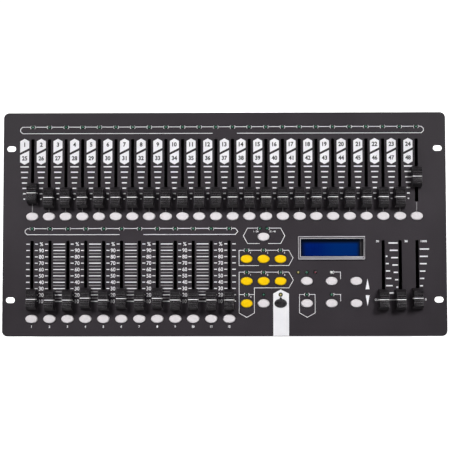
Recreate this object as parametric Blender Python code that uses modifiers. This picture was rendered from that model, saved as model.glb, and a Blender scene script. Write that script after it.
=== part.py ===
"""Lighting control console with 24 channel faders and 12 playback faders.

The console is a 19-inch rack panel with a steel tub under it. The origin is on the ground
under the middle of the panel: X runs along the panel to the user's right, Y runs away from
the user to the rear edge, and Z runs up. Lengths are in metres.
"""
import math

import bmesh
import bpy
from mathutils import Matrix, Vector

MM = 0.001

# Fits between neighbours
SEAT_GAP = 0.3 * MM
SLIDE_GAP = 0.3 * MM
SINK = 0.5 * MM
WELD_DISTANCE = 0.001 * MM

# Slide faders: one cap and lever, used in all three groups
FADER_TRAVEL = 60.0 * MM
LEVER_LENGTH = 8.0 * MM
LEVER_THICKNESS = 1.2 * MM
SLOT_END_CLEARANCE = 0.6 * MM
SLOT_WIDTH = 2.8 * MM
CAP_WIDTH = 10.9 * MM
CAP_LENGTH = 22.6 * MM
CAP_LIFT = 1.0 * MM
CAP_SKIRT_HEIGHT = 2.2 * MM
CAP_DIP_HEIGHT = 8.6 * MM
CAP_HORN_HEIGHT = 11.2 * MM
CAP_HORN_SPREAD = 15.6 * MM
CAP_STEP_SPREAD = 8.8 * MM
CAP_STEP_HEIGHT = 9.3 * MM
POT_WIDTH = 9.0 * MM
POT_HEIGHT = 7.0 * MM
POT_END = 7.5 * MM
POT_GROOVE_DEPTH = 5.4 * MM

# Front panel
PANEL_WIDTH = 482.6 * MM
PANEL_THICKNESS = 2.0 * MM
PANEL_CORNER_RADIUS = 6.0 * MM
PANEL_CORNER_STEPS = 4
RACK_SLOT_INSET_X = 8.75 * MM
RACK_SLOT_INSET_Y = 39.45 * MM
RACK_SLOT_LENGTH = 10.5 * MM
RACK_SLOT_HEIGHT = 7.0 * MM
RACK_SLOT_STEPS = 3

# Rows of the panel, from the rear edge to the front edge
LAMP_TO_SLOT = 12.9 * MM
SLOT_TO_KEY = 15.75 * MM
KEY_TO_LAMP = 13.45 * MM
PAGE_DROP = 9.0 * MM
KEY_ROW_PITCH = 24.1 * MM
KEY_TO_OWN_LAMP = 9.4 * MM
DISPLAY_DROP = 21.25 * MM

# Columns of the panel, from both side edges inwards
CHANNEL_COUNT = 24
PLAYBACK_COUNT = 12
TIME_FADER_PITCH = 18.4 * MM
TIME_TO_FUNCTION = 29.5 * MM
FUNCTION_PITCH = 26.8 * MM
FUNCTION_TO_CONTROL = 28.4 * MM
CONTROL_PITCH = 18.45 * MM
CONTROL_TO_PLAYBACK = 18.9 * MM
PAGE_LAMP_PITCH = 7.8 * MM
FUNCTION_LAMP_PITCH = 9.3 * MM

# How far each lifted fader stands above the low end of its travel
CHANNEL_LIFTS = {1: 4.9 * MM, 24: 22.2 * MM}
PLAYBACK_LIFTS = {1: 0.9 * MM, 4: 2.1 * MM, 6: 1.6 * MM, 8: 1.8 * MM, 10: 0.4 * MM}
MASTER_LIFT = 1.4 * MM

# Keys and their rubber mats
KEY_WIDTH = 13.2 * MM
KEY_DEPTH = 9.0 * MM
KEY_RISE = 1.6 * MM
KEY_DRAFT = 0.94
KEY_HOLE_CLEARANCE = 0.4 * MM
KEY_TRAVEL = 0.6 * MM
KEY_SIDES = 12
MAT_THICKNESS = 1.2 * MM
MAT_MARGIN_X = 2.2 * MM
MAT_MARGIN_Y = 2.4 * MM
MAT_STRIP = 5.6 * MM

# Indicator lamps
LAMP_RADIUS = 1.5 * MM
LAMP_CLEARANCE = 0.35 * MM
LAMP_RISE = 0.4 * MM
LAMP_SIDES = 6

# Boards under the panel
BOARD_DROP = 9.5 * MM
BOARD_THICKNESS = 1.6 * MM
BOARD_EDGE_TO_LAMP = 3.4 * MM
BOARD_SIDE_MARGIN = 2.2 * MM
BOARD_REAR_CLEARANCE = 1.4 * MM
BOARD_FRONT_CLEARANCE = 5.15 * MM
BOARD_SIDE_CLEARANCE = 1.0 * MM
BOARD_SPLIT_GAP = 1.6 * MM
SWITCH_SIZE = 6.0 * MM
SWITCH_HEIGHT = 3.6 * MM
BUTTON_SIZE = 3.4 * MM
STUD_RADIUS = 2.5 * MM
STUD_SIDES = 8
CHANNELS_LEFT_OF_STUDS = (2, 8, 16, 22)
PLAYBACKS_LEFT_OF_STUDS = (1, 6, 11)

# Display
DISPLAY_BOARD_WIDTH = 80.0 * MM
DISPLAY_BOARD_DEPTH = 36.0 * MM
DISPLAY_HOLE_INSET = 2.5 * MM
DISPLAY_CASE_WIDTH = 74.0 * MM
DISPLAY_CASE_DEPTH = 27.0 * MM
DISPLAY_CASE_HEIGHT = 6.4 * MM
DISPLAY_GLASS_WIDTH = 69.0 * MM
DISPLAY_GLASS_DEPTH = 20.0 * MM
DISPLAY_GLASS_SINK = 0.6 * MM
FRAME_WINDOW_WIDTH = 66.0 * MM
FRAME_WINDOW_DEPTH = 17.8 * MM
FRAME_BORDER_SIDE = 3.5 * MM
FRAME_BORDER_END = 4.2 * MM
FRAME_RISE = 2.0 * MM
FRAME_LIP = 1.3 * MM
FRAME_LIP_DEPTH = 1.6 * MM
DISPLAY_STUD_RADIUS = 2.0 * MM

# Case tub
CASE_SIDE_OVERHANG = 21.3 * MM
CASE_REAR_OVERHANG = 8.0 * MM
CASE_FRONT_OVERHANG = 4.0 * MM
CASE_HEIGHT = 64.0 * MM
CASE_WALL = 1.2 * MM
TAB_WIDTH = 30.0 * MM
TAB_DROP = 12.0 * MM
TAB_THICKNESS = 1.5 * MM
FOOT_HEIGHT = 5.0 * MM
FOOT_RADIUS = 9.0 * MM
FOOT_TOP_RADIUS = 8.0 * MM
FOOT_INSET = 26.0 * MM
FOOT_SIDES = 16

# Main board on the floor of the tub, with the sockets of the rear wall
MAIN_BOARD_INSET = 36.0 * MM
MAIN_BOARD_WIDTH = 268.0 * MM
MAIN_BOARD_DEPTH = 62.0 * MM
MAIN_BOARD_WALL_GAP = 1.0 * MM
STANDOFF_HEIGHT = 6.0 * MM
STANDOFF_RADIUS = 3.0 * MM
STANDOFF_INSET = 5.0 * MM
SOCKET_CLEARANCE = 0.5 * MM
SOCKET_SIDES = 12
PIN_HOLE_DEPTH = 9.0 * MM
PIN_SIDES = 6

# Sockets from the left end of the main board: block width, depth and height, barrel radius,
# height of its axis, how far its face stands out of the wall, and the radius of a pin hole
JACK = {"block": (9.0 * MM, 14.0 * MM, 11.0 * MM), "radius": 3.9 * MM, "axis": 6.5 * MM,
        "rise": 0.4 * MM, "pin": 2.6 * MM}
AUDIO = {"block": (10.0 * MM, 12.0 * MM, 13.0 * MM), "radius": 4.2 * MM, "axis": 8.0 * MM,
         "rise": 7.0 * MM, "pin": 1.6 * MM}
LINK = {"block": (21.0 * MM, 13.0 * MM, 20.0 * MM), "radius": 8.6 * MM, "axis": 10.5 * MM,
        "rise": 0.4 * MM, "pin": 1.5 * MM}
SIGNAL = {"block": (26.0 * MM, 22.0 * MM, 27.0 * MM), "radius": 11.6 * MM, "axis": 14.0 * MM,
          "rise": 1.4 * MM, "pin": 1.8 * MM}
JACK_XS = [22.0 * MM]
AUDIO_XS = [52.0 * MM, 68.0 * MM]
LINK_XS = [98.0 * MM, 123.0 * MM, 148.0 * MM]
SIGNAL_XS = [186.0 * MM, 220.0 * MM]
LINK_PIN_CIRCLE = 5.0 * MM
LINK_PIN_ANGLES = [math.radians(a) for a in (0, 45, 90, 135, 180)]
SIGNAL_PIN_CIRCLE = 5.4 * MM
SIGNAL_PIN_ANGLES = [math.radians(a) for a in (90, 210, 330)]

# Large parts of the main board: place from its left front corner, and size
PROCESSOR_PARTS = (
    (20.0 * MM, 8.0 * MM, (24.0 * MM, 14.0 * MM, 16.0 * MM)),
    (66.0 * MM, 8.0 * MM, (25.0 * MM, 25.0 * MM, 3.4 * MM)),
    (112.0 * MM, 10.0 * MM, (36.0 * MM, 15.0 * MM, 4.6 * MM)),
    (168.0 * MM, 10.0 * MM, (21.0 * MM, 16.0 * MM, 5.4 * MM)),
)

# Power switch
SWITCH_INSET = 20.0 * MM
SWITCH_CENTRE_HEIGHT = 26.0 * MM
SWITCH_FLANGE_WIDTH = 15.0 * MM
SWITCH_FLANGE_HEIGHT = 21.0 * MM
SWITCH_FLANGE_THICKNESS = 2.0 * MM
SWITCH_BODY_WIDTH = 12.8 * MM
SWITCH_BODY_HEIGHT = 18.8 * MM
SWITCH_BODY_DEPTH = 15.0 * MM
SWITCH_WALL = 1.1 * MM
SWITCH_POCKET_DEPTH = 8.5 * MM
ROCKER_THROW = math.radians(20.0)
ROCKER_PIVOT_DEPTH = 2.4 * MM
ROCKER_CROWN = 4.2 * MM
ROCKER_KEEL = 3.2 * MM
ROCKER_KEEL_SPAN = 7.4 * MM
ROCKER_END_GAP = 0.9 * MM

# Rows and columns that follow from the sizes above; the boards stand clear inside the tabs
TAB_REACH = CASE_WALL + SEAT_GAP + TAB_THICKNESS
SIDE_INSET = (CASE_SIDE_OVERHANG + TAB_REACH + BOARD_SIDE_CLEARANCE + BOARD_SIDE_MARGIN
              + POT_WIDTH / 2)
REAR_MARGIN = CASE_REAR_OVERHANG + TAB_REACH + BOARD_REAR_CLEARANCE + BOARD_EDGE_TO_LAMP
FRONT_MARGIN = (CASE_FRONT_OVERHANG + TAB_REACH + BOARD_FRONT_CLEARANCE + MAT_MARGIN_Y
                + KEY_DEPTH / 2)
SLOT_LENGTH = FADER_TRAVEL + LEVER_LENGTH + 2 * SLOT_END_CLEARANCE
ROW_DEPTH = LAMP_TO_SLOT + SLOT_LENGTH + SLOT_TO_KEY
PANEL_DEPTH = REAR_MARGIN + 2 * ROW_DEPTH + KEY_TO_LAMP + FRONT_MARGIN
CHANNEL_LAMP_Y = PANEL_DEPTH / 2 - REAR_MARGIN
CHANNEL_SLOT_Y = CHANNEL_LAMP_Y - LAMP_TO_SLOT - SLOT_LENGTH / 2
CHANNEL_KEY_Y = CHANNEL_LAMP_Y - ROW_DEPTH
PLAYBACK_LAMP_Y = CHANNEL_KEY_Y - KEY_TO_LAMP
PLAYBACK_SLOT_Y = PLAYBACK_LAMP_Y - LAMP_TO_SLOT - SLOT_LENGTH / 2
PLAYBACK_KEY_Y = PLAYBACK_LAMP_Y - ROW_DEPTH
PAGE_Y = PLAYBACK_LAMP_Y - PAGE_DROP
SCENE_Y = PAGE_Y - KEY_ROW_PITCH
CHASE_Y = SCENE_Y - KEY_ROW_PITCH
LOWER_Y = CHASE_Y - KEY_ROW_PITCH
DISPLAY_Y = PLAYBACK_LAMP_Y - DISPLAY_DROP

FIRST_X = SIDE_INSET - PANEL_WIDTH / 2
LAST_X = PANEL_WIDTH / 2 - SIDE_INSET
CHANNEL_PITCH = (LAST_X - FIRST_X) / (CHANNEL_COUNT - 1)
CHANNEL_XS = [FIRST_X + i * CHANNEL_PITCH for i in range(CHANNEL_COUNT)]
TIME_XS = [LAST_X - 2 * TIME_FADER_PITCH, LAST_X - TIME_FADER_PITCH]
FUNCTION_XS = [TIME_XS[0] - TIME_TO_FUNCTION - i * FUNCTION_PITCH for i in (2, 1, 0)]
CONTROL_XS = [FUNCTION_XS[0] - FUNCTION_TO_CONTROL - i * CONTROL_PITCH for i in (2, 1, 0)]
PLAYBACK_PITCH = (CONTROL_XS[0] - CONTROL_TO_PLAYBACK - FIRST_X) / (PLAYBACK_COUNT - 1)
PLAYBACK_XS = [FIRST_X + i * PLAYBACK_PITCH for i in range(PLAYBACK_COUNT)]

# Heights that follow from the sizes above
CASE_BOTTOM_Z = FOOT_HEIGHT + SEAT_GAP
PANEL_BOTTOM_Z = CASE_BOTTOM_Z + CASE_HEIGHT + SEAT_GAP
PANEL_TOP_Z = PANEL_BOTTOM_Z + PANEL_THICKNESS
BOARD_TOP_Z = PANEL_BOTTOM_Z - BOARD_DROP
CASE_FLOOR_Z = CASE_BOTTOM_Z + CASE_WALL
CASE_LEFT_X = CASE_SIDE_OVERHANG - PANEL_WIDTH / 2
CASE_REAR_Y = PANEL_DEPTH / 2 - CASE_REAR_OVERHANG
CASE_FRONT_Y = CASE_FRONT_OVERHANG - PANEL_DEPTH / 2
MAIN_BOARD_TOP_Z = CASE_FLOOR_Z + STANDOFF_HEIGHT + SEAT_GAP + BOARD_THICKNESS
MAIN_BOARD_LEFT_X = CASE_LEFT_X + MAIN_BOARD_INSET
MAIN_BOARD_REAR_Y = CASE_REAR_Y - CASE_WALL - MAIN_BOARD_WALL_GAP
MAIN_BOARD_FRONT_Y = MAIN_BOARD_REAR_Y - MAIN_BOARD_DEPTH

# Every key of the panel, by the mat that carries it
MAT_KEYS = {
    "channel_keypad": [(x, CHANNEL_KEY_Y) for x in CHANNEL_XS],
    "playback_keypad": [(x, PLAYBACK_KEY_Y) for x in PLAYBACK_XS],
    "page_key": [(CONTROL_XS[1], PAGE_Y)],
    "scene_keypad": [(x, SCENE_Y) for x in CONTROL_XS],
    "chase_keypad": [(x, CHASE_Y) for x in CONTROL_XS] + [(CONTROL_XS[0], LOWER_Y)],
    "dimmer_key": [(CONTROL_XS[1], LOWER_Y)],
    "blackout_key": [(CONTROL_XS[2], LOWER_Y)],
    "function_keypad": [(x, y) for y in (CHASE_Y, LOWER_Y) for x in FUNCTION_XS],
}

# Where the strip that joins a mat's two rows stands
MAT_JOINTS = {
    "chase_keypad": CONTROL_XS[0] - KEY_WIDTH / 2 - MAT_MARGIN_X + MAT_STRIP / 2,
    "function_keypad": (FUNCTION_XS[1] + FUNCTION_XS[2]) / 2,
}

# Every lamp of the lower half, each on its own key's centre line or beside it
CHANNEL_LAMPS = [(x, CHANNEL_LAMP_Y) for x in CHANNEL_XS]
PLAYBACK_LAMPS = (
    [(x, PLAYBACK_LAMP_Y) for x in PLAYBACK_XS]
    + [(CONTROL_XS[1] + side * PAGE_LAMP_PITCH / 2, PLAYBACK_LAMP_Y) for side in (-1, 1)]
    + [(x, y + KEY_TO_OWN_LAMP) for y in (SCENE_Y, CHASE_Y, LOWER_Y) for x in CONTROL_XS]
    + [(FUNCTION_XS[0] + i * FUNCTION_LAMP_PITCH, CHASE_Y + KEY_TO_OWN_LAMP) for i in (-1, 0, 1)]
    + [(FUNCTION_XS[0], LOWER_Y + KEY_TO_OWN_LAMP)]
    + [(FUNCTION_XS[1], y + KEY_TO_OWN_LAMP) for y in (CHASE_Y, LOWER_Y)]
)

# Every fader: its name, the place of its slot and its lift at rest
FADERS = (
    [(f"channel_fader_{i + 1:02d}", x, CHANNEL_SLOT_Y, CHANNEL_LIFTS.get(i + 1, 0.0))
     for i, x in enumerate(CHANNEL_XS)]
    + [(f"playback_fader_{i + 1:02d}", x, PLAYBACK_SLOT_Y, PLAYBACK_LIFTS.get(i + 1, 0.0))
       for i, x in enumerate(PLAYBACK_XS)]
    + [(f"{name}_time_fader", x, PLAYBACK_SLOT_Y, 0.0)
       for name, x in zip(("wait", "fade"), TIME_XS)]
    + [("master_fader", LAST_X, PLAYBACK_SLOT_Y, MASTER_LIFT)]
)


def clear_scene():
    """Remove everything, so that the script gives the same model each run."""
    for obj in list(bpy.data.objects):
        bpy.data.objects.remove(obj, do_unlink=True)


def make_collection(name):
    collection = bpy.data.collections.new(name)
    bpy.context.scene.collection.children.link(collection)
    return collection


def make_material(name, colour, roughness, metallic=0.0):
    """A plain material: colour is linear red, green and blue."""
    material = bpy.data.materials.new(name)
    material.use_nodes = True
    shader = material.node_tree.nodes["Principled BSDF"]
    shader.inputs["Base Color"].default_value = (*colour, 1.0)
    shader.inputs["Roughness"].default_value = roughness
    shader.inputs["Metallic"].default_value = metallic
    return material


def place(name, mesh, location=(0.0, 0.0, 0.0)):
    """An object of the console with the given mesh."""
    obj = bpy.data.objects.new(name, mesh)
    obj.location = location
    PARTS.objects.link(obj)
    return obj


def finish(obj, material):
    """Give the object its one material, and well-shaped triangles that leave no slivers."""
    bm = bmesh.new()
    bm.from_mesh(obj.data)
    bmesh.ops.remove_doubles(bm, verts=bm.verts, dist=WELD_DISTANCE)
    bmesh.ops.triangulate(bm, faces=bm.faces, quad_method="BEAUTY", ngon_method="BEAUTY")
    bm.to_mesh(obj.data)
    bm.free()
    obj.data.materials.clear()
    obj.data.materials.append(material)


def baked(obj):
    """The object's mesh with its modifiers, or a curve's mesh with its caps welded on."""
    graph = bpy.context.evaluated_depsgraph_get()
    mesh = bpy.data.meshes.new_from_object(obj.evaluated_get(graph))
    bm = bmesh.new()
    bm.from_mesh(mesh)
    bmesh.ops.remove_doubles(bm, verts=bm.verts, dist=WELD_DISTANCE)
    bmesh.ops.recalc_face_normals(bm, faces=bm.faces)
    bm.to_mesh(mesh)
    bm.free()
    return mesh


def combine(target, tool, operation):
    """Join the tool to the target, or cut it out, and throw the tool away."""
    modifier = target.modifiers.new(operation.lower(), "BOOLEAN")
    modifier.object = tool
    modifier.operation = operation
    modifier.solver = "EXACT"
    graph = bpy.context.evaluated_depsgraph_get()
    mesh = bpy.data.meshes.new_from_object(target.evaluated_get(graph))
    target.modifiers.clear()
    target.data = mesh
    bpy.data.objects.remove(tool)


def mesh_from(bm):
    """The mesh of a set of shapes that has been built up."""
    mesh = bpy.data.meshes.new("shape")
    bm.to_mesh(mesh)
    bm.free()
    return mesh


def tool_from(bm):
    """A cutter or an added shape, kept out of the console's own collection."""
    tool = bpy.data.objects.new("tool", mesh_from(bm))
    tool.hide_render = True
    tool.display_type = "WIRE"
    TOOLS.objects.link(tool)
    return tool


def add_box(bm, low, high):
    """Add a box between its low and its high corner."""
    size = Vector(high) - Vector(low)
    centre = (Vector(high) + Vector(low)) / 2
    matrix = Matrix.Translation(centre) @ Matrix.Diagonal((*size, 1.0))
    bmesh.ops.create_cube(bm, size=1.0, matrix=matrix)


def add_post(bm, x, y, low, high, width, depth, sides, taper=1.0):
    """Add an upright round or oval post, whose top is its foot times taper."""
    matrix = (
        Matrix.Translation((x, y, (low + high) / 2))
        @ Matrix.Diagonal((width / 2, depth / 2, high - low, 1.0))
        @ Matrix.Rotation(math.pi / sides, 4, "Z")
    )
    bmesh.ops.create_cone(
        bm, cap_ends=True, segments=sides, radius1=1.0, radius2=taper, depth=1.0, matrix=matrix
    )


def add_barrel(bm, x, z, front, back, radius, sides):
    """Add a round bar that lies along Y, for a socket in the rear wall."""
    matrix = (
        Matrix.Translation((x, (front + back) / 2, z))
        @ Matrix.Rotation(math.pi / 2, 4, "X")
        @ Matrix.Diagonal((radius, radius, back - front, 1.0))
        @ Matrix.Rotation(math.pi / sides, 4, "Z")
    )
    bmesh.ops.create_cone(
        bm, cap_ends=True, segments=sides, radius1=1.0, radius2=1.0, depth=1.0, matrix=matrix
    )


def rectangle(x, y, width, depth):
    """The four corners of a rectangle about a centre."""
    half_x = width / 2
    half_y = depth / 2
    return [(x + i * half_x, y + j * half_y) for i, j in ((-1, -1), (1, -1), (1, 1), (-1, 1))]


def rounded_rectangle(x, y, width, depth, radius, steps):
    """A rectangle whose corners are quarter arcs of some steps."""
    points = []
    for turn, (i, j) in enumerate(((1, 1), (-1, 1), (-1, -1), (1, -1))):
        corner_x = x + i * (width / 2 - radius)
        corner_y = y + j * (depth / 2 - radius)
        for step in range(steps + 1):
            angle = (turn + step / steps) * math.pi / 2
            points.append((corner_x + radius * math.cos(angle), corner_y + radius * math.sin(angle)))
    return points


def oval(x, y, width, depth, sides):
    """The corners of an oval with a flat side at each end of both axes."""
    angles = [(2 * i + 1) * math.pi / sides for i in range(sides)]
    return [(x + width / 2 * math.cos(a), y + depth / 2 * math.sin(a)) for a in angles]


def plate_mesh(outline, thickness):
    """A flat plate about z = 0 with the given edge."""
    curve = bpy.data.curves.new("outline", "CURVE")
    curve.dimensions = "2D"
    curve.fill_mode = "BOTH"
    curve.extrude = thickness / 2
    spline = curve.splines.new("POLY")
    spline.points.add(len(outline) - 1)
    for point, (x, y) in zip(spline.points, outline):
        point.co = (x, y, 0.0, 1.0)
    spline.use_cyclic_u = True
    holder = bpy.data.objects.new("outline", curve)
    TOOLS.objects.link(holder)
    mesh = baked(holder)
    bpy.data.objects.remove(holder)
    return mesh


def stud_places():
    """Where the weld studs of the two boards stand, between faders and keys."""
    channel = [
        ((CHANNEL_XS[i - 1] + CHANNEL_XS[i]) / 2, CHANNEL_SLOT_Y + end * FADER_TRAVEL / 2)
        for i in CHANNELS_LEFT_OF_STUDS
        for end in (-1, 1)
    ]
    playback = [
        ((PLAYBACK_XS[i - 1] + PLAYBACK_XS[i]) / 2, PLAYBACK_SLOT_Y + end * FADER_TRAVEL / 2)
        for i in PLAYBACKS_LEFT_OF_STUDS
        for end in (-1, 1)
    ]
    right = [
        ((TIME_XS[0] + TIME_XS[1]) / 2, PLAYBACK_SLOT_Y + end * FADER_TRAVEL / 2)
        for end in (-1, 1)
    ]
    return channel + playback + right


def display_stud_places():
    """Where the studs of the display module stand: the corners of its board."""
    x = FUNCTION_XS[1]
    half_x = DISPLAY_BOARD_WIDTH / 2 - DISPLAY_HOLE_INSET
    half_y = DISPLAY_BOARD_DEPTH / 2 - DISPLAY_HOLE_INSET
    return [(x + i * half_x, DISPLAY_Y + j * half_y) for i in (-1, 1) for j in (-1, 1)]


def tab_boxes():
    """Low and high corners of the panel's tabs, which stand just inside the tub's walls."""
    low_z = -TAB_DROP
    high_z = SINK
    fit = CASE_WALL + SEAT_GAP
    inner_x = -CASE_LEFT_X - fit
    rear_y = CASE_REAR_Y - fit
    front_y = CASE_FRONT_Y + fit
    boxes = []
    for side in (-1, 1):
        edges = sorted((side * inner_x, side * (inner_x - TAB_THICKNESS)))
        boxes.append(((edges[0], CHANNEL_SLOT_Y - TAB_WIDTH / 2, low_z),
                      (edges[1], CHANNEL_SLOT_Y + TAB_WIDTH / 2, high_z)))
        middle = side * inner_x / 2
        boxes.append(((middle - TAB_WIDTH / 2, rear_y - TAB_THICKNESS, low_z),
                      (middle + TAB_WIDTH / 2, rear_y, high_z)))
        boxes.append(((middle - TAB_WIDTH / 2, front_y, low_z),
                      (middle + TAB_WIDTH / 2, front_y + TAB_THICKNESS, high_z)))
    return boxes


def panel_hole_outlines():
    """Edges of every opening in the panel."""
    slot_x = PANEL_WIDTH / 2 - RACK_SLOT_INSET_X
    slot_y = PANEL_DEPTH / 2 - RACK_SLOT_INSET_Y
    lamp_hole = 2 * (LAMP_RADIUS + LAMP_CLEARANCE)
    window_fit = 2 * (FRAME_LIP + SEAT_GAP)
    holes = [
        rounded_rectangle(i * slot_x, j * slot_y, RACK_SLOT_LENGTH, RACK_SLOT_HEIGHT,
                          RACK_SLOT_HEIGHT / 2, RACK_SLOT_STEPS)
        for i in (-1, 1) for j in (-1, 1)
    ]
    holes += [rectangle(x, y, SLOT_WIDTH, SLOT_LENGTH) for _, x, y, _ in FADERS]
    holes += [
        oval(x, y, KEY_WIDTH + 2 * KEY_HOLE_CLEARANCE, KEY_DEPTH + 2 * KEY_HOLE_CLEARANCE, KEY_SIDES)
        for keys in MAT_KEYS.values() for x, y in keys
    ]
    holes += [
        oval(x, y, lamp_hole, lamp_hole, LAMP_SIDES) for x, y in CHANNEL_LAMPS + PLAYBACK_LAMPS
    ]
    holes.append(rectangle(FUNCTION_XS[1], DISPLAY_Y, FRAME_WINDOW_WIDTH + window_fit,
                           FRAME_WINDOW_DEPTH + window_fit))
    return holes


def add_prism(bm, outline, low, high):
    """Add an upright prism over an outline that runs anticlockwise."""
    foot = bm.faces.new([bm.verts.new((x, y, low)) for x, y in outline])
    lifted = bmesh.ops.extrude_face_region(bm, geom=[foot])["geom"]
    for vert in lifted:
        if isinstance(vert, bmesh.types.BMVert):
            vert.co.z = high


def split_across(mesh, x):
    """Split a plate's faces along a line at x, so that both sides are faces of their own."""
    bm = bmesh.new()
    bm.from_mesh(mesh)
    bmesh.ops.bisect_plane(bm, geom=bm.verts[:] + bm.edges[:] + bm.faces[:],
                           plane_co=(x, 0, 0), plane_no=(1, 0, 0))
    bm.to_mesh(mesh)
    bm.free()


def make_front_panel():
    """Steel panel with its slots, key and lamp holes, studs and tabs."""
    edge = rounded_rectangle(0, 0, PANEL_WIDTH, PANEL_DEPTH, PANEL_CORNER_RADIUS,
                             PANEL_CORNER_STEPS)
    mesh = plate_mesh(edge, PANEL_THICKNESS)
    mesh.transform(Matrix.Translation((0, 0, PANEL_THICKNESS / 2)))
    # each rack ear, outside the tub, has a face of its own to rest on the rack
    for x in (CASE_LEFT_X - SEAT_GAP, SEAT_GAP - CASE_LEFT_X):
        split_across(mesh, x)
    panel = place("front_panel", mesh)

    bm = bmesh.new()
    for outline in panel_hole_outlines():
        add_prism(bm, outline, -SINK, PANEL_THICKNESS + SINK)
    bmesh.ops.recalc_face_normals(bm, faces=bm.faces)
    combine(panel, tool_from(bm), "DIFFERENCE")

    bm = bmesh.new()
    for x, y in stud_places():
        add_post(bm, x, y, SEAT_GAP - BOARD_DROP, SINK, 2 * STUD_RADIUS, 2 * STUD_RADIUS,
                 STUD_SIDES)
    for x, y in display_stud_places():
        add_post(bm, x, y, -DISPLAY_CASE_HEIGHT, SINK, 2 * DISPLAY_STUD_RADIUS,
                 2 * DISPLAY_STUD_RADIUS, STUD_SIDES)
    for low, high in tab_boxes():
        add_box(bm, low, high)
    combine(panel, tool_from(bm), "UNION")
    panel.location = (0, 0, PANEL_BOTTOM_Z)
    finish(panel, STEEL_PAINT)


def fader_mesh():
    """Cap and lever in one, with the origin on the slot's axis at the panel's top face."""
    half = CAP_LENGTH / 2
    base = CAP_LIFT
    side = [
        (half, base),
        (half, base + CAP_SKIRT_HEIGHT),
        (CAP_HORN_SPREAD / 2, base + CAP_HORN_HEIGHT),
        (CAP_STEP_SPREAD / 2, base + CAP_STEP_HEIGHT),
        (0.0, base + CAP_DIP_HEIGHT),
    ]
    profile = side + [(-y, z) for y, z in reversed(side[:-1])]
    mesh = plate_mesh(profile, CAP_WIDTH)
    turn = Matrix(((0, 0, 1, 0), (1, 0, 0, 0), (0, 1, 0, 0), (0, 0, 0, 1)))
    mesh.transform(turn)
    cap = place("cap", mesh)
    pot_floor = BOARD_DROP + PANEL_THICKNESS - POT_HEIGHT + POT_GROOVE_DEPTH
    bm = bmesh.new()
    add_box(bm, (-LEVER_THICKNESS / 2, -LEVER_LENGTH / 2, SLIDE_GAP - pot_floor),
            (LEVER_THICKNESS / 2, LEVER_LENGTH / 2, base + CAP_DIP_HEIGHT / 2))
    combine(cap, tool_from(bm), "UNION")
    mesh = cap.data
    bpy.data.objects.remove(cap)
    return mesh


def make_faders():
    """All faders share one mesh, and each stands at its own place in its slot."""
    mesh = fader_mesh()
    for name, x, y, lift in FADERS:
        fader = place(name, mesh, (x, y - FADER_TRAVEL / 2 + lift, PANEL_TOP_Z))
        finish(fader, CAP_PLASTIC)


def mat_rectangles(name):
    """Low and high corners, in X and Y, of the strips that make up a key mat."""
    keys = MAT_KEYS[name]
    half_x = KEY_WIDTH / 2 + MAT_MARGIN_X
    half_y = KEY_DEPTH / 2 + MAT_MARGIN_Y
    strips = []
    for row_y in sorted({y for _, y in keys}):
        xs = [x for x, y in keys if y == row_y]
        strips.append(((min(xs) - half_x, row_y - half_y), (max(xs) + half_x, row_y + half_y)))
    if len(strips) == 2:
        # a narrow strip joins the two rows clear of the lamps between them
        left = MAT_JOINTS[name] - MAT_STRIP / 2
        strips.append(((left, LOWER_Y), (left + MAT_STRIP, CHASE_Y)))
    return strips


def make_keypads():
    """Rubber mats under the panel, whose oval keys stand through the panel's holes."""
    rubbers = {"scene_keypad": YELLOW_RUBBER, "chase_keypad": YELLOW_RUBBER,
               "blackout_key": BLACK_RUBBER}
    for name, keys in MAT_KEYS.items():
        centre = Vector((sum(x for x, _ in keys), sum(y for _, y in keys))) / len(keys)
        mat = None
        for (left, front), (right, rear) in mat_rectangles(name):
            bm = bmesh.new()
            add_box(bm, (left - centre.x, front - centre.y, -SEAT_GAP - MAT_THICKNESS),
                    (right - centre.x, rear - centre.y, -SEAT_GAP))
            if mat is None:
                mat = place(name, mesh_from(bm))
            else:
                combine(mat, tool_from(bm), "UNION")
        bm = bmesh.new()
        for x, y in keys:
            add_post(bm, x - centre.x, y - centre.y, -SEAT_GAP - MAT_THICKNESS / 2,
                     PANEL_THICKNESS + KEY_RISE, KEY_WIDTH, KEY_DEPTH, KEY_SIDES, KEY_DRAFT)
        combine(mat, tool_from(bm), "UNION")
        mat.location = (*centre, PANEL_BOTTOM_Z)
        finish(mat, rubbers.get(name, WHITE_RUBBER))


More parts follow.
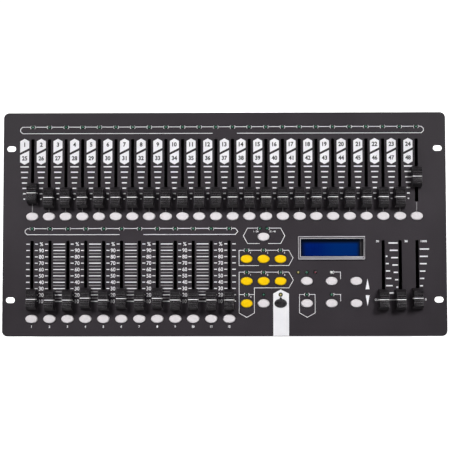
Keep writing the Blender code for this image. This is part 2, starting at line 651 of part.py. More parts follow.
def make_fader_board(name, front, rear, pots, keys, lamps):
    """A board with its slide pots, key switches and lamps; z = 0 is its top face."""
    half_width = LAST_X + POT_WIDTH / 2 + BOARD_SIDE_MARGIN
    bm = bmesh.new()
    add_box(bm, (-half_width, front, -BOARD_THICKNESS), (half_width, rear, 0))
    board = place(name, mesh_from(bm))
    bm = bmesh.new()
    for x, y in pots:
        half = FADER_TRAVEL / 2 + POT_END
        add_box(bm, (x - POT_WIDTH / 2, y - half, -SINK), (x + POT_WIDTH / 2, y + half, POT_HEIGHT))
    for x, y in keys:
        add_box(bm, (x - SWITCH_SIZE / 2, y - SWITCH_SIZE / 2, -SINK),
                (x + SWITCH_SIZE / 2, y + SWITCH_SIZE / 2, SWITCH_HEIGHT))
    for x, y in lamps:
        add_post(bm, x, y, -SINK, BOARD_DROP + PANEL_THICKNESS + LAMP_RISE,
                 2 * LAMP_RADIUS, 2 * LAMP_RADIUS, LAMP_SIDES)
    combine(board, tool_from(bm), "UNION")
    button_top = BOARD_DROP - SEAT_GAP - MAT_THICKNESS - KEY_TRAVEL - SEAT_GAP
    bm = bmesh.new()
    for x, y in keys:
        add_box(bm, (x - BUTTON_SIZE / 2, y - BUTTON_SIZE / 2, SWITCH_HEIGHT - SINK),
                (x + BUTTON_SIZE / 2, y + BUTTON_SIZE / 2, button_top))
    combine(board, tool_from(bm), "UNION")
    bm = bmesh.new()
    groove_half = FADER_TRAVEL / 2 + LEVER_LENGTH / 2 + SLIDE_GAP
    groove_width = LEVER_THICKNESS + 2 * SLIDE_GAP
    for x, y in pots:
        add_box(bm, (x - groove_width / 2, y - groove_half, POT_HEIGHT - POT_GROOVE_DEPTH),
                (x + groove_width / 2, y + groove_half, POT_HEIGHT + SINK))
    combine(board, tool_from(bm), "DIFFERENCE")
    board.location = (0, 0, BOARD_TOP_Z)
    finish(board, BOARD_GREEN)


def make_fader_boards():
    """The two boards meet along a line between the channel keys and the playback lamps."""
    split = (CHANNEL_KEY_Y + PLAYBACK_LAMP_Y) / 2
    make_fader_board(
        "channel_board", split + BOARD_SPLIT_GAP / 2, CHANNEL_LAMP_Y + BOARD_EDGE_TO_LAMP,
        [(x, CHANNEL_SLOT_Y) for x in CHANNEL_XS], MAT_KEYS["channel_keypad"], CHANNEL_LAMPS)
    keys = [key for name, group in MAT_KEYS.items() if name != "channel_keypad" for key in group]
    pots = [(x, PLAYBACK_SLOT_Y) for x in PLAYBACK_XS + TIME_XS + [LAST_X]]
    front = PLAYBACK_KEY_Y - KEY_DEPTH / 2 - MAT_MARGIN_Y
    make_fader_board("playback_board", front, split - BOARD_SPLIT_GAP / 2, pots, keys,
                     PLAYBACK_LAMPS)


def make_display():
    """Display module hung on studs behind its cut-out, and the frame around the window."""
    x = FUNCTION_XS[1]
    top = -SEAT_GAP
    bottom = top - DISPLAY_CASE_HEIGHT
    bm = bmesh.new()
    add_box(bm, (-DISPLAY_BOARD_WIDTH / 2, -DISPLAY_BOARD_DEPTH / 2, bottom - BOARD_THICKNESS),
            (DISPLAY_BOARD_WIDTH / 2, DISPLAY_BOARD_DEPTH / 2, bottom))
    module = place("display_module", mesh_from(bm))
    bm = bmesh.new()
    add_box(bm, (-DISPLAY_CASE_WIDTH / 2, -DISPLAY_CASE_DEPTH / 2, bottom - SINK),
            (DISPLAY_CASE_WIDTH / 2, DISPLAY_CASE_DEPTH / 2, top))
    combine(module, tool_from(bm), "UNION")
    bm = bmesh.new()
    add_box(bm, (-DISPLAY_GLASS_WIDTH / 2, -DISPLAY_GLASS_DEPTH / 2, top - DISPLAY_GLASS_SINK),
            (DISPLAY_GLASS_WIDTH / 2, DISPLAY_GLASS_DEPTH / 2, top + SINK))
    combine(module, tool_from(bm), "DIFFERENCE")
    module.location = (x, DISPLAY_Y, PANEL_BOTTOM_Z)
    finish(module, DISPLAY_BLUE)

    window = rectangle(0, 0, FRAME_WINDOW_WIDTH, FRAME_WINDOW_DEPTH)
    flange = rectangle(0, 0, FRAME_WINDOW_WIDTH + 2 * FRAME_BORDER_SIDE,
                       FRAME_WINDOW_DEPTH + 2 * FRAME_BORDER_END)
    lip = rectangle(0, 0, FRAME_WINDOW_WIDTH + 2 * FRAME_LIP, FRAME_WINDOW_DEPTH + 2 * FRAME_LIP)
    mesh = plate_mesh(flange, FRAME_RISE - SEAT_GAP)
    mesh.transform(Matrix.Translation((0, 0, (FRAME_RISE + SEAT_GAP) / 2)))
    frame = place("display_frame", mesh)
    depth = FRAME_LIP_DEPTH + 2 * SEAT_GAP
    mesh = plate_mesh(lip, depth)
    mesh.transform(Matrix.Translation((0, 0, 2 * SEAT_GAP - depth / 2)))
    lip_plate = place("lip", mesh)
    combine(frame, lip_plate, "UNION")
    mesh = plate_mesh(window, 4 * FRAME_RISE)
    opening = place("opening", mesh)
    combine(frame, opening, "DIFFERENCE")
    frame.location = (x, DISPLAY_Y, PANEL_TOP_Z)
    finish(frame, FRAME_METAL)


def sockets():
    """Every socket of the main board with its x."""
    rows = ((JACK, JACK_XS), (AUDIO, AUDIO_XS), (LINK, LINK_XS), (SIGNAL, SIGNAL_XS))
    return [(socket, MAIN_BOARD_LEFT_X + x) for socket, places in rows for x in places]


def pin_places(socket, x):
    """Centres of the pin holes in a socket's face."""
    z = socket["axis"]
    if socket is LINK:
        return [(x + LINK_PIN_CIRCLE * math.cos(a), z - LINK_PIN_CIRCLE * math.sin(a))
                for a in LINK_PIN_ANGLES]
    if socket is SIGNAL:
        return [(x + SIGNAL_PIN_CIRCLE * math.cos(a), z - SIGNAL_PIN_CIRCLE * math.sin(a))
                for a in SIGNAL_PIN_ANGLES]
    return [(x, z)]


def make_main_board():
    """Processor board on the tub's floor, with the sockets along its rear edge."""
    right = MAIN_BOARD_LEFT_X + MAIN_BOARD_WIDTH
    bm = bmesh.new()
    add_box(bm, (MAIN_BOARD_LEFT_X, MAIN_BOARD_FRONT_Y, -BOARD_THICKNESS),
            (right, MAIN_BOARD_REAR_Y, 0))
    board = place("main_board", mesh_from(bm))
    blocks = bmesh.new()
    barrels = bmesh.new()
    holes = bmesh.new()
    for socket, x in sockets():
        width, depth, height = socket["block"]
        add_box(blocks, (x - width / 2, MAIN_BOARD_REAR_Y - depth, -SINK),
                (x + width / 2, MAIN_BOARD_REAR_Y, height))
        face = CASE_REAR_Y + socket["rise"]
        add_barrel(barrels, x, socket["axis"], MAIN_BOARD_REAR_Y - SINK, face, socket["radius"],
                   SOCKET_SIDES)
        for pin_x, pin_z in pin_places(socket, x):
            add_barrel(holes, pin_x, pin_z, face - PIN_HOLE_DEPTH, face + SINK, socket["pin"],
                       PIN_SIDES)
    for x, y, size in PROCESSOR_PARTS:
        low_x = MAIN_BOARD_LEFT_X + x
        low_y = MAIN_BOARD_FRONT_Y + y
        add_box(blocks, (low_x, low_y, -SINK), (low_x + size[0], low_y + size[1], size[2]))
    for bm, operation in ((blocks, "UNION"), (barrels, "UNION"), (holes, "DIFFERENCE")):
        combine(board, tool_from(bm), operation)
    board.location = (0, 0, MAIN_BOARD_TOP_Z)
    finish(board, BOARD_GREEN)


def standoff_places():
    """Corners of the main board, where it stands on the tub."""
    left = MAIN_BOARD_LEFT_X + STANDOFF_INSET
    right = MAIN_BOARD_LEFT_X + MAIN_BOARD_WIDTH - STANDOFF_INSET
    front = MAIN_BOARD_FRONT_Y + STANDOFF_INSET
    rear = MAIN_BOARD_REAR_Y - STANDOFF_INSET
    return [(x, y) for x in (left, right) for y in (front, rear)]


def make_case_tub():
    """Open steel tray with the cut-outs of the sockets and the standoffs of the main board."""
    bm = bmesh.new()
    add_box(bm, (CASE_LEFT_X, CASE_FRONT_Y, 0), (-CASE_LEFT_X, CASE_REAR_Y, CASE_HEIGHT))
    top = max(bm.faces, key=lambda face: face.calc_center_median().z)
    bmesh.ops.delete(bm, geom=[top], context="FACES_ONLY")
    tub = place("case_tub", mesh_from(bm))
    walls = tub.modifiers.new("walls", "SOLIDIFY")
    walls.thickness = CASE_WALL
    walls.offset = -1.0
    walls.use_even_offset = True
    tub.data = baked(tub)
    tub.modifiers.clear()

    bm = bmesh.new()
    for x, y in standoff_places():
        add_post(bm, x, y, CASE_WALL - SINK, CASE_WALL + STANDOFF_HEIGHT,
                 2 * STANDOFF_RADIUS, 2 * STANDOFF_RADIUS, STUD_SIDES)
    combine(tub, tool_from(bm), "UNION")

    bm = bmesh.new()
    outside = CASE_REAR_Y + SINK
    inside = CASE_REAR_Y - CASE_WALL - SINK
    board_z = MAIN_BOARD_TOP_Z - CASE_BOTTOM_Z
    for socket, x in sockets():
        add_barrel(bm, x, board_z + socket["axis"], inside, outside,
                   socket["radius"] + SOCKET_CLEARANCE, SOCKET_SIDES)
    x, z = switch_centre()
    half_x = SWITCH_BODY_WIDTH / 2 + SEAT_GAP
    half_z = SWITCH_BODY_HEIGHT / 2 + SEAT_GAP
    z -= CASE_BOTTOM_Z
    add_box(bm, (x - half_x, inside, z - half_z), (x + half_x, outside, z + half_z))
    combine(tub, tool_from(bm), "DIFFERENCE")
    tub.location = (0, 0, CASE_BOTTOM_Z)
    finish(tub, STEEL_PAINT)


def make_feet():
    """Four rubber feet under the corners of the tub."""
    bm = bmesh.new()
    bmesh.ops.create_cone(bm, cap_ends=True, segments=FOOT_SIDES, radius1=FOOT_RADIUS,
                          radius2=FOOT_TOP_RADIUS, depth=FOOT_HEIGHT)
    mesh = mesh_from(bm)
    for side, x in (("left", CASE_LEFT_X + FOOT_INSET), ("right", -CASE_LEFT_X - FOOT_INSET)):
        for end, y in (("front", CASE_FRONT_Y + FOOT_INSET), ("rear", CASE_REAR_Y - FOOT_INSET)):
            foot = place(f"foot_{end}_{side}", mesh, (x, y, FOOT_HEIGHT / 2))
            finish(foot, BLACK_RUBBER)


def switch_centre():
    """Middle of the power switch in the rear wall, as x and z."""
    return (CASE_LEFT_X + SWITCH_INSET, CASE_BOTTOM_Z + SWITCH_CENTRE_HEIGHT)


def make_power_switch():
    """Snap-in switch body, and its rocker on a level pin, tipped to its lower side."""
    bm = bmesh.new()
    half_x = SWITCH_FLANGE_WIDTH / 2
    half_z = SWITCH_FLANGE_HEIGHT / 2
    add_box(bm, (-half_x, SEAT_GAP, -half_z), (half_x, SWITCH_FLANGE_THICKNESS, half_z))
    body = place("power_switch_body", mesh_from(bm))
    bm = bmesh.new()
    half_x = SWITCH_BODY_WIDTH / 2
    half_z = SWITCH_BODY_HEIGHT / 2
    add_box(bm, (-half_x, -SWITCH_BODY_DEPTH, -half_z), (half_x, SEAT_GAP + SINK, half_z))
    combine(body, tool_from(bm), "UNION")
    bm = bmesh.new()
    pocket_x = half_x - SWITCH_WALL
    pocket_z = half_z - SWITCH_WALL
    add_box(bm, (-pocket_x, SWITCH_FLANGE_THICKNESS - SWITCH_POCKET_DEPTH, -pocket_z),
            (pocket_x, SWITCH_FLANGE_THICKNESS + SINK, pocket_z))
    combine(body, tool_from(bm), "DIFFERENCE")
    x, z = switch_centre()
    body.location = (x, CASE_REAR_Y, z)
    finish(body, CAP_PLASTIC)

    reach = pocket_z - ROCKER_END_GAP
    keel = ROCKER_KEEL_SPAN / 2
    profile = [(-reach, ROCKER_CROWN), (-reach, 0.0), (-keel, -ROCKER_KEEL),
               (keel, -ROCKER_KEEL), (reach, 0.0), (reach, ROCKER_CROWN),
               (0.0, ROCKER_CROWN - reach * math.tan(ROCKER_THROW / 2))]
    mesh = plate_mesh(profile, 2 * (pocket_x - SLIDE_GAP))
    turn = Matrix(((0, 0, -1, 0), (0, 1, 0, 0), (1, 0, 0, 0), (0, 0, 0, 1)))
    mesh.transform(turn)
    mesh.transform(Matrix.Rotation(ROCKER_THROW / 2, 4, "X"))
    pivot_y = CASE_REAR_Y + SWITCH_FLANGE_THICKNESS - ROCKER_PIVOT_DEPTH
    rocker = place("power_rocker", mesh, (x, pivot_y, z))
    finish(rocker, BLACK_RUBBER)


clear_scene()
PARTS = make_collection("lighting_control_console")
TOOLS = make_collection("tools")
STEEL_PAINT = make_material("grey_paint_on_steel", (0.055, 0.049, 0.054), 0.55, 0.1)
CAP_PLASTIC = make_material("black_cap_plastic", (0.012, 0.011, 0.012), 0.45)
WHITE_RUBBER = make_material("off_white_rubber", (0.74, 0.72, 0.75), 0.6)
YELLOW_RUBBER = make_material("yellow_rubber", (0.9, 0.55, 0.01), 0.6)
BLACK_RUBBER = make_material("black_rubber", (0.015, 0.014, 0.015), 0.7)
BOARD_GREEN = make_material("green_circuit_board", (0.01, 0.1, 0.04), 0.5)
FRAME_METAL = make_material("satin_metal", (0.55, 0.54, 0.55), 0.35, 0.9)
DISPLAY_BLUE = make_material("blue_display", (0.002, 0.02, 0.15), 0.2)
make_front_panel()
make_faders()
make_keypads()
make_fader_boards()
make_display()
make_main_board()
make_case_tub()
make_feet()
make_power_switch()
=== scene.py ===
"""Looks of the lighting control console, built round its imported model.

The sections follow the console as it is put together: the punched and printed panel, the key
mats, the display, the fader boards and their caps, then the tub with the main board, the power
switch, the feet and the screws. The origin is on the ground under the middle of the panel:
X runs to the user's right, Y to the rear edge and Z up. Lengths are in metres.
"""
import math

import bmesh
import bpy
from mathutils import Matrix, Vector


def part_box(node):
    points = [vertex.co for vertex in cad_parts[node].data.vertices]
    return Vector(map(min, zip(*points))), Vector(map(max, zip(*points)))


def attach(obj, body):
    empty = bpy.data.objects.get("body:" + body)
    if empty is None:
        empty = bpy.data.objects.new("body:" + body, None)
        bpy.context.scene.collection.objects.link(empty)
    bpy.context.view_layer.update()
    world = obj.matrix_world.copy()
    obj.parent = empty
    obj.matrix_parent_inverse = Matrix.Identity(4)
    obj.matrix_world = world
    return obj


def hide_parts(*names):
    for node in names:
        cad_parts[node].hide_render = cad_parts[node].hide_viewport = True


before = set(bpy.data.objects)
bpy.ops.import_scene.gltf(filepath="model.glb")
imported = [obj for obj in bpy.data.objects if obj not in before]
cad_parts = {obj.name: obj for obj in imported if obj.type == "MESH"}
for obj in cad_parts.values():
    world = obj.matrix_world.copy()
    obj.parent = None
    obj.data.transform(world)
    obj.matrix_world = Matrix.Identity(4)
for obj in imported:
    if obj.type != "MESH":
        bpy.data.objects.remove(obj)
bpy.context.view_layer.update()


# Front panel: 2 mm sheet steel as wide as a rack, punched for the faders, keys, lamps, display
# and rack bolts and sprayed with dark satin paint. Studs for the boards and the display and
# tabs for the tub's screws are welded under it.
MM = 0.001
PANEL_LOW, PANEL_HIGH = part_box("front_panel")
PANEL_TOP = PANEL_HIGH.z
PANEL_BOTTOM = PANEL_TOP - 2.0 * MM
PANEL_CORNER = 6.0 * MM
PANEL_EDGE_ROUND = 0.18 * MM
PUNCH_EXCESS = 1.0 * MM
# the rack slots' middles from the panel's middle, their length and their height
RACK_SLOT_X = 232.55 * MM
RACK_SLOT_Y = 82.55 * MM
RACK_SLOT_LENGTH = 9.8 * MM
RACK_SLOT_HEIGHT = 6.2 * MM
SLOT_WIDTH = 3.55 * MM
SLOT_LENGTH = 69.2 * MM
SLOT_ROUND = 0.6 * MM
FADER_TRAVEL = 60.0 * MM
KEY_WIDTH = 13.1 * MM
CONTROL_KEY_WIDTH = 12.5 * MM
KEY_DEPTH = 8.6 * MM
KEY_HOLE_GAP = 0.4 * MM
LAMP_RADIUS = 1.75 * MM
LAMP_HOLE_GAP = 0.45 * MM
# sides of the display window from the middle of its frame: left, right, front and rear
WINDOW = (-33.0 * MM, 34.9 * MM, -8.9 * MM, 9.6 * MM)
WINDOW_HOLE_GAP = 1.0 * MM
WINDOW_HOLE_CORNER = 0.8 * MM
BOARD_THICKNESS = 1.6 * MM
BOARD_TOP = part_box("channel_board")[0].z + BOARD_THICKNESS


def middle(node):
    """The middle of a CAD node's box."""
    low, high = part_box(node)
    return (low + high) / 2


CHANNELS = [f"channel_fader_{i:02d}" for i in range(1, 25)]
PLAYBACKS = [f"playback_fader_{i:02d}" for i in range(1, 13)]
RIGHT_FADERS = ["wait_time_fader", "fade_time_fader", "master_fader"]
CHANNEL_XS = [middle(name).x for name in CHANNELS]
PLAYBACK_XS = [middle(name).x for name in PLAYBACKS]
RIGHT_XS = [middle(name).x for name in RIGHT_FADERS]
# the second fader of each row stands at the low end of its travel
CHANNEL_SLOT_Y = middle(CHANNELS[1]).y + FADER_TRAVEL / 2
PLAYBACK_SLOT_Y = middle(PLAYBACKS[1]).y + FADER_TRAVEL / 2
CHANNEL_KEY_Y = middle("channel_keypad").y
PLAYBACK_KEY_Y = middle("playback_keypad").y
CONTROL_PITCH = 18.45 * MM
FUNCTION_PITCH = 26.8 * MM
PAGE_X, PAGE_Y, _ = middle("page_key")
SCENE_Y = middle("scene_keypad").y
LOWER_Y = middle("dimmer_key").y
CHASE_Y = (SCENE_Y + LOWER_Y) / 2
CONTROL_XS = [PAGE_X - CONTROL_PITCH, PAGE_X, PAGE_X + CONTROL_PITCH]
DISPLAY_X, DISPLAY_Y, _ = middle("display_frame")
FUNCTION_XS = [DISPLAY_X - FUNCTION_PITCH, DISPLAY_X, DISPLAY_X + FUNCTION_PITCH]
FUNCTION_YS = [CHASE_Y, LOWER_Y]
CHANNEL_LAMP_Y = 106.2 * MM
PLAYBACK_LAMP_Y = -5.1 * MM
KEY_TO_LAMP = 9.4 * MM
PAGE_LAMP_REACH = 3.9 * MM
FUNCTION_LAMP_PITCH = 9.3 * MM

SLOTS = ([(x, CHANNEL_SLOT_Y) for x in CHANNEL_XS]
         + [(x, PLAYBACK_SLOT_Y) for x in PLAYBACK_XS + RIGHT_XS])
MATS = {
    "channel_keypad": [(x, CHANNEL_KEY_Y) for x in CHANNEL_XS],
    "playback_keypad": [(x, PLAYBACK_KEY_Y) for x in PLAYBACK_XS],
    "page_key": [(PAGE_X, PAGE_Y)],
    "scene_keypad": [(x, SCENE_Y) for x in CONTROL_XS],
    "chase_keypad": [(x, CHASE_Y) for x in CONTROL_XS] + [(CONTROL_XS[0], LOWER_Y)],
    "dimmer_key": [(PAGE_X, LOWER_Y)],
    "blackout_key": [(CONTROL_XS[2], LOWER_Y)],
    "function_keypad": [(x, y) for y in FUNCTION_YS for x in FUNCTION_XS],
}
ROW_MATS = ("channel_keypad", "playback_keypad")
MODE_LAMP_Y = CHASE_Y + KEY_TO_LAMP
GREEN_LAMPS = (
    [(x, CHANNEL_LAMP_Y) for x in CHANNEL_XS] + [(x, PLAYBACK_LAMP_Y) for x in PLAYBACK_XS]
    + [(PAGE_X + side * PAGE_LAMP_REACH, PLAYBACK_LAMP_Y) for side in (-1, 1)]
    + [(x, y + KEY_TO_LAMP) for y in (SCENE_Y, CHASE_Y) for x in CONTROL_XS]
    + [(x, LOWER_Y + KEY_TO_LAMP) for x in CONTROL_XS[:2] + FUNCTION_XS[:2]]
    + [(FUNCTION_XS[0], MODE_LAMP_Y)]
)
AMBER_LAMPS = [(FUNCTION_XS[0] - FUNCTION_LAMP_PITCH, MODE_LAMP_Y),
               (CONTROL_XS[2], LOWER_Y + KEY_TO_LAMP)]
RED_LAMPS = [(FUNCTION_XS[0] + FUNCTION_LAMP_PITCH, MODE_LAMP_Y)]
CLEAR_LAMPS = [(FUNCTION_XS[1], MODE_LAMP_Y)]
LAMPS = GREEN_LAMPS + AMBER_LAMPS + RED_LAMPS + CLEAR_LAMPS


def screen(red, green, blue):
    """A colour as a screen shows it, 0 to 255, in the linear values that shaders take."""
    shares = [level / 255 for level in (red, green, blue)]
    return (*[s / 12.92 if s <= 0.04045 else ((s + 0.055) / 1.055) ** 2.4 for s in shares], 1.0)


def add_node(tree, kind, inputs, **settings):
    """A node with its settings, and with a plain value or another node's output per input."""
    node = tree.nodes.new(kind)
    for name, value in settings.items():
        setattr(node, name, value)
    for key, value in inputs.items():
        if isinstance(value, bpy.types.NodeSocket):
            tree.links.new(value, node.inputs[key])
        else:
            node.inputs[key].default_value = value
    return node


def colour_mix(tree, share, first, second):
    """Two colours mixed by a share: a Mix node has its colours on inputs 6 and 7."""
    return add_node(tree, "ShaderNodeMix", {0: share, 6: first, 7: second},
                    data_type="RGBA").outputs[2]


def shader_group(name, inputs, outputs):
    """An empty shader group: its tree, its inputs and its outputs as nodes."""
    tree = bpy.data.node_groups.new(name, "ShaderNodeTree")
    for label, kind, value in inputs:
        tree.interface.new_socket(label, in_out="INPUT", socket_type=kind).default_value = value
    for label, kind in outputs:
        tree.interface.new_socket(label, in_out="OUTPUT", socket_type=kind)
    return tree, tree.nodes.new("NodeGroupInput"), tree.nodes.new("NodeGroupOutput")


def build_grain():
    """Fine grain and broad mottle of a moulded, sprayed or cast face, from object coordinates."""
    tree, given, out = shader_group(
        "surface_grain",
        [("Grain Size", "NodeSocketFloat", 0.3 * MM), ("Mottle Size", "NodeSocketFloat", 20 * MM),
         ("Mottle Share", "NodeSocketFloat", 0.5), ("Stretch", "NodeSocketVector", (1, 1, 1))],
        [("Shade", "NodeSocketFloat"), ("Relief", "NodeSocketFloat")])
    place = tree.nodes.new("ShaderNodeTexCoord")
    stretched = add_node(tree, "ShaderNodeVectorMath",
                         {0: place.outputs["Object"], 1: given.outputs["Stretch"]},
                         operation="DIVIDE")
    noises = []
    for label, detail in (("Grain Size", 3.0), ("Mottle Size", 4.0)):
        scale = add_node(tree, "ShaderNodeMath", {0: 1.0, 1: given.outputs[label]},
                         operation="DIVIDE")
        noise = add_node(tree, "ShaderNodeTexNoise",
                         {"Vector": stretched.outputs["Vector"], "Scale": scale.outputs[0],
                          "Detail": detail})
        noises.append(noise.outputs["Fac"])
    blend = add_node(tree, "ShaderNodeMix", {"Factor": given.outputs["Mottle Share"],
                                             "A": noises[0], "B": noises[1]})
    spread = add_node(tree, "ShaderNodeMapRange",
                      {"Value": blend.outputs["Result"], "From Min": 0.3, "From Max": 0.7})
    tree.links.new(spread.outputs["Result"], out.inputs["Shade"])
    tree.links.new(noises[0], out.inputs["Relief"])
    return tree


def build_edges():
    """A mask that is 1 on outer edges and fades to 0 on the faces beside them; it lightens edges as
    rubbed wear and as a painted highlight.
    """
    tree, given, out = shader_group(
        "edge_wear", [("Reach", "NodeSocketFloat", 0.4 * MM), ("Strength", "NodeSocketFloat", 1.0)],
        [("Mask", "NodeSocketFloat")])
    rounded = add_node(tree, "ShaderNodeBevel", {"Radius": given.outputs["Reach"]}, samples=4)
    flat = tree.nodes.new("ShaderNodeNewGeometry")
    likeness = add_node(tree, "ShaderNodeVectorMath",
                        {0: rounded.outputs["Normal"], 1: flat.outputs["Normal"]},
                        operation="DOT_PRODUCT")
    mask = add_node(tree, "ShaderNodeMapRange",
                    {"Value": likeness.outputs["Value"], "From Min": 0.995, "From Max": 0.85,
                     "To Max": given.outputs["Strength"]})
    tree.links.new(mask.outputs["Result"], out.inputs["Mask"])
    return tree


GRAIN = build_grain()
EDGES = build_edges()
BUMP_DEPTH = 0.1 * MM


def new_material(name):
    """A material, its tree and its one shader."""
    material = bpy.data.materials.new(name)
    material.use_nodes = True
    return material, material.node_tree, material.node_tree.nodes["Principled BSDF"]


def finished(name, dark, light, rough, grain, mottle, share=0.5, relief=0.0, edge=None,
             reach=0.4 * MM, wear_and_highlight=0.5, stretch=(1, 1, 1), **fixed):
    """A grained finish: colour and roughness follow the grain, and edges are lighter, as rubbed
    wear and as a painted highlight.
    """
    material, tree, shader = new_material(name)
    group = add_node(tree, "ShaderNodeGroup",
                     {"Grain Size": grain, "Mottle Size": mottle, "Mottle Share": share,
                      "Stretch": stretch}, node_tree=GRAIN)
    colour = colour_mix(tree, group.outputs["Shade"], dark, light)
    # the lighter edges are partly rubbed wear and partly a painted highlight
    if edge:
        rim = add_node(tree, "ShaderNodeGroup", {"Reach": reach, "Strength": wear_and_highlight},
                       node_tree=EDGES)
        colour = colour_mix(tree, rim.outputs["Mask"], colour, edge)
    tree.links.new(colour, shader.inputs["Base Color"])
    gloss = add_node(tree, "ShaderNodeMapRange",
                     {"Value": group.outputs["Shade"], "To Min": rough[0], "To Max": rough[1]})
    tree.links.new(gloss.outputs["Result"], shader.inputs["Roughness"])
    if relief:
        bump = add_node(tree, "ShaderNodeBump", {"Strength": relief, "Distance": BUMP_DEPTH,
                                                 "Height": group.outputs["Relief"]})
        tree.links.new(bump.outputs["Normal"], shader.inputs["Normal"])
    for label, value in fixed.items():
        shader.inputs[label.replace("_", " ")].default_value = value
    return material


def mesh_from(bm):
    """The mesh of a set of shapes that has been built up."""
    mesh = bpy.data.meshes.new("shape")
    bm.to_mesh(mesh)
    bm.free()
    return mesh


def temporary(mesh):
    """An object that only holds a mesh while a modifier works on it."""
    holder = bpy.data.objects.new("holder", mesh)
    bpy.context.scene.collection.objects.link(holder)
    return holder


def taken(holder):
    """The mesh of a temporary object after its modifiers; the object goes."""
    graph = bpy.context.evaluated_depsgraph_get()
    mesh = bpy.data.meshes.new_from_object(holder.evaluated_get(graph))
    holder.modifiers.clear()
    bpy.data.objects.remove(holder)
    return mesh


def cut(mesh, tools):
    """The mesh with the shapes of the tools' mesh cut out of it."""
    holder = temporary(mesh)
    tool = temporary(tools)
    modifier = holder.modifiers.new("cut", "BOOLEAN")
    modifier.object = tool
    modifier.solver = "EXACT"
    result = taken(holder)
    bpy.data.objects.remove(tool)
    return result


def softened(mesh, width):
    """The mesh with its sharp edges rounded."""
    holder = temporary(mesh)
    modifier = holder.modifiers.new("round", "BEVEL")
    modifier.width = width
    modifier.segments = 2
    modifier.limit_method = "ANGLE"
    modifier.angle_limit = math.radians(35.0)
    modifier.use_clamp_overlap = True
    return taken(holder)


def smooth(mesh, angle=35.0):
    """Shade the mesh smooth but for its sharper edges."""
    mesh.polygons.foreach_set("use_smooth", [True] * len(mesh.polygons))
    mesh.set_sharp_from_angle(angle=math.radians(angle))
    return mesh


def joined(parts):
    """One mesh from several; each part is a mesh and the number of its material.

    A part with None for its number keeps the numbers that its faces have."""
    bm = bmesh.new()
    for mesh, number in parts:
        start = len(bm.faces)
        bm.from_mesh(mesh)
        bm.faces.ensure_lookup_table()
        if number is not None:
            for face in bm.faces[start:]:
                face.material_index = number
    return mesh_from(bm)


def together(meshes):
    """One mesh from several that keep the numbers of their materials."""
    return joined([(mesh, None) for mesh in meshes])


def piece(name, mesh, body, slot, *materials):
    """Show a finished mesh as a piece that rides on a body, in the given materials; the slot
    argument is not used.
    """
    numbers = [face.material_index for face in mesh.polygons]
    mesh.materials.clear()
    for material in materials:
        mesh.materials.append(material)
    mesh.polygons.foreach_set("material_index", numbers)
    shown = bpy.data.objects.new(name, mesh)
    bpy.context.scene.collection.objects.link(shown)
    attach(shown, body)
    return shown


def box(low, high):
    """A box between its low and its high corner."""
    low, high = Vector(low), Vector(high)
    bm = bmesh.new()
    matrix = Matrix.Translation((low + high) / 2) @ Matrix.Diagonal((*(high - low), 1.0))
    bmesh.ops.create_cube(bm, size=1.0, matrix=matrix)
    return mesh_from(bm)


def block(x, y, width, depth, low, high):
    """A box of some width and depth about x, y, from one height to another."""
    return box((x - width / 2, y - depth / 2, low), (x + width / 2, y + depth / 2, high))


def rounded_rectangle(x, y, width, depth, radius, steps):
    """The corners of a rectangle about x, y whose corners are quarter arcs of some steps."""
    points = []
    for turn, (i, j) in enumerate(((1, 1), (-1, 1), (-1, -1), (1, -1))):
        for step in range(steps + 1):
            angle = (turn + step / steps) * math.pi / 2
            points.append((x + i * (width / 2 - radius) + radius * math.cos(angle),
                           y + j * (depth / 2 - radius) + radius * math.sin(angle)))
    return points


def oval(x, y, width, depth, sides):
    """The corners of an oval about x, y."""
    turns = [2 * math.pi * i / sides for i in range(sides)]
    return [(x + width / 2 * math.cos(a), y + depth / 2 * math.sin(a)) for a in turns]


def circle(radius, height, sides):
    """The corners of a level circle about the Z axis."""
    return [(x, y, height) for x, y in oval(0, 0, 2 * radius, 2 * radius, sides)]


def loft(rings, closed=False):
    """The skin through rings of equally many points, with its ends capped or joined up."""
    bm = bmesh.new()
    loops = [[bm.verts.new(point) for point in ring] for ring in rings]
    pairs = list(zip(loops, loops[1:]))
    if closed:
        pairs.append((loops[-1], loops[0]))
    for low, high in pairs:
        for i in range(len(low)):
            j = (i + 1) % len(low)
            bm.faces.new((low[i], low[j], high[j], high[i]))
    if not closed:
        bm.faces.new(reversed(loops[0]))
        bm.faces.new(loops[-1])
    bmesh.ops.recalc_face_normals(bm, faces=bm.faces)
    return mesh_from(bm)


def prism(outline, low, high):
    """An upright prism over an outline, from one height to another."""
    return loft([[(x, y, z) for x, y in outline] for z in (low, high)])


def turned(profile, steps, matrix=Matrix.Identity(4)):
    """A turned solid; its profile runs from the axis up to the axis, as radius and height."""
    bm = bmesh.new()
    rings = []
    for radius, height in profile:
        points = circle(radius, height, steps) if radius else [(0, 0, height)]
        rings.append([bm.verts.new(matrix @ Vector(point)) for point in points])
    for low, high in zip(rings, rings[1:]):
        for i in range(steps):
            j = (i + 1) % steps
            corners = [low[i % len(low)], low[j % len(low)], high[j % len(high)],
                       high[i % len(high)]]
            corners = [v for n, v in enumerate(corners) if v not in corners[:n]]
            if len(corners) > 2:
                bm.faces.new(corners)
    return mesh_from(bm)


def key_width(mat_name):
    """The width of a mat's keys: those of the two long rows are a little wider."""
    return KEY_WIDTH if mat_name in ROW_MATS else CONTROL_KEY_WIDTH


def key_hole(mat_name, x, y, clear=0.0):
    """The hole round a key of a mat, with some more room round it."""
    room = 2 * KEY_HOLE_GAP + clear
    return oval(x, y, key_width(mat_name) + room, KEY_DEPTH + room, 40)


def lamp_hole(x, y, clear=0.0):
    """The hole round a lamp, with some more room round it."""
    width = 2 * (LAMP_RADIUS + LAMP_HOLE_GAP) + clear
    return oval(x, y, width, width, 20)


def window_outline(margin, radius):
    """The display window with a margin round it."""
    left, right, front, rear = WINDOW
    return rounded_rectangle(DISPLAY_X + (left + right) / 2, DISPLAY_Y + (front + rear) / 2,
                             right - left + 2 * margin, rear - front + 2 * margin, radius, 4)


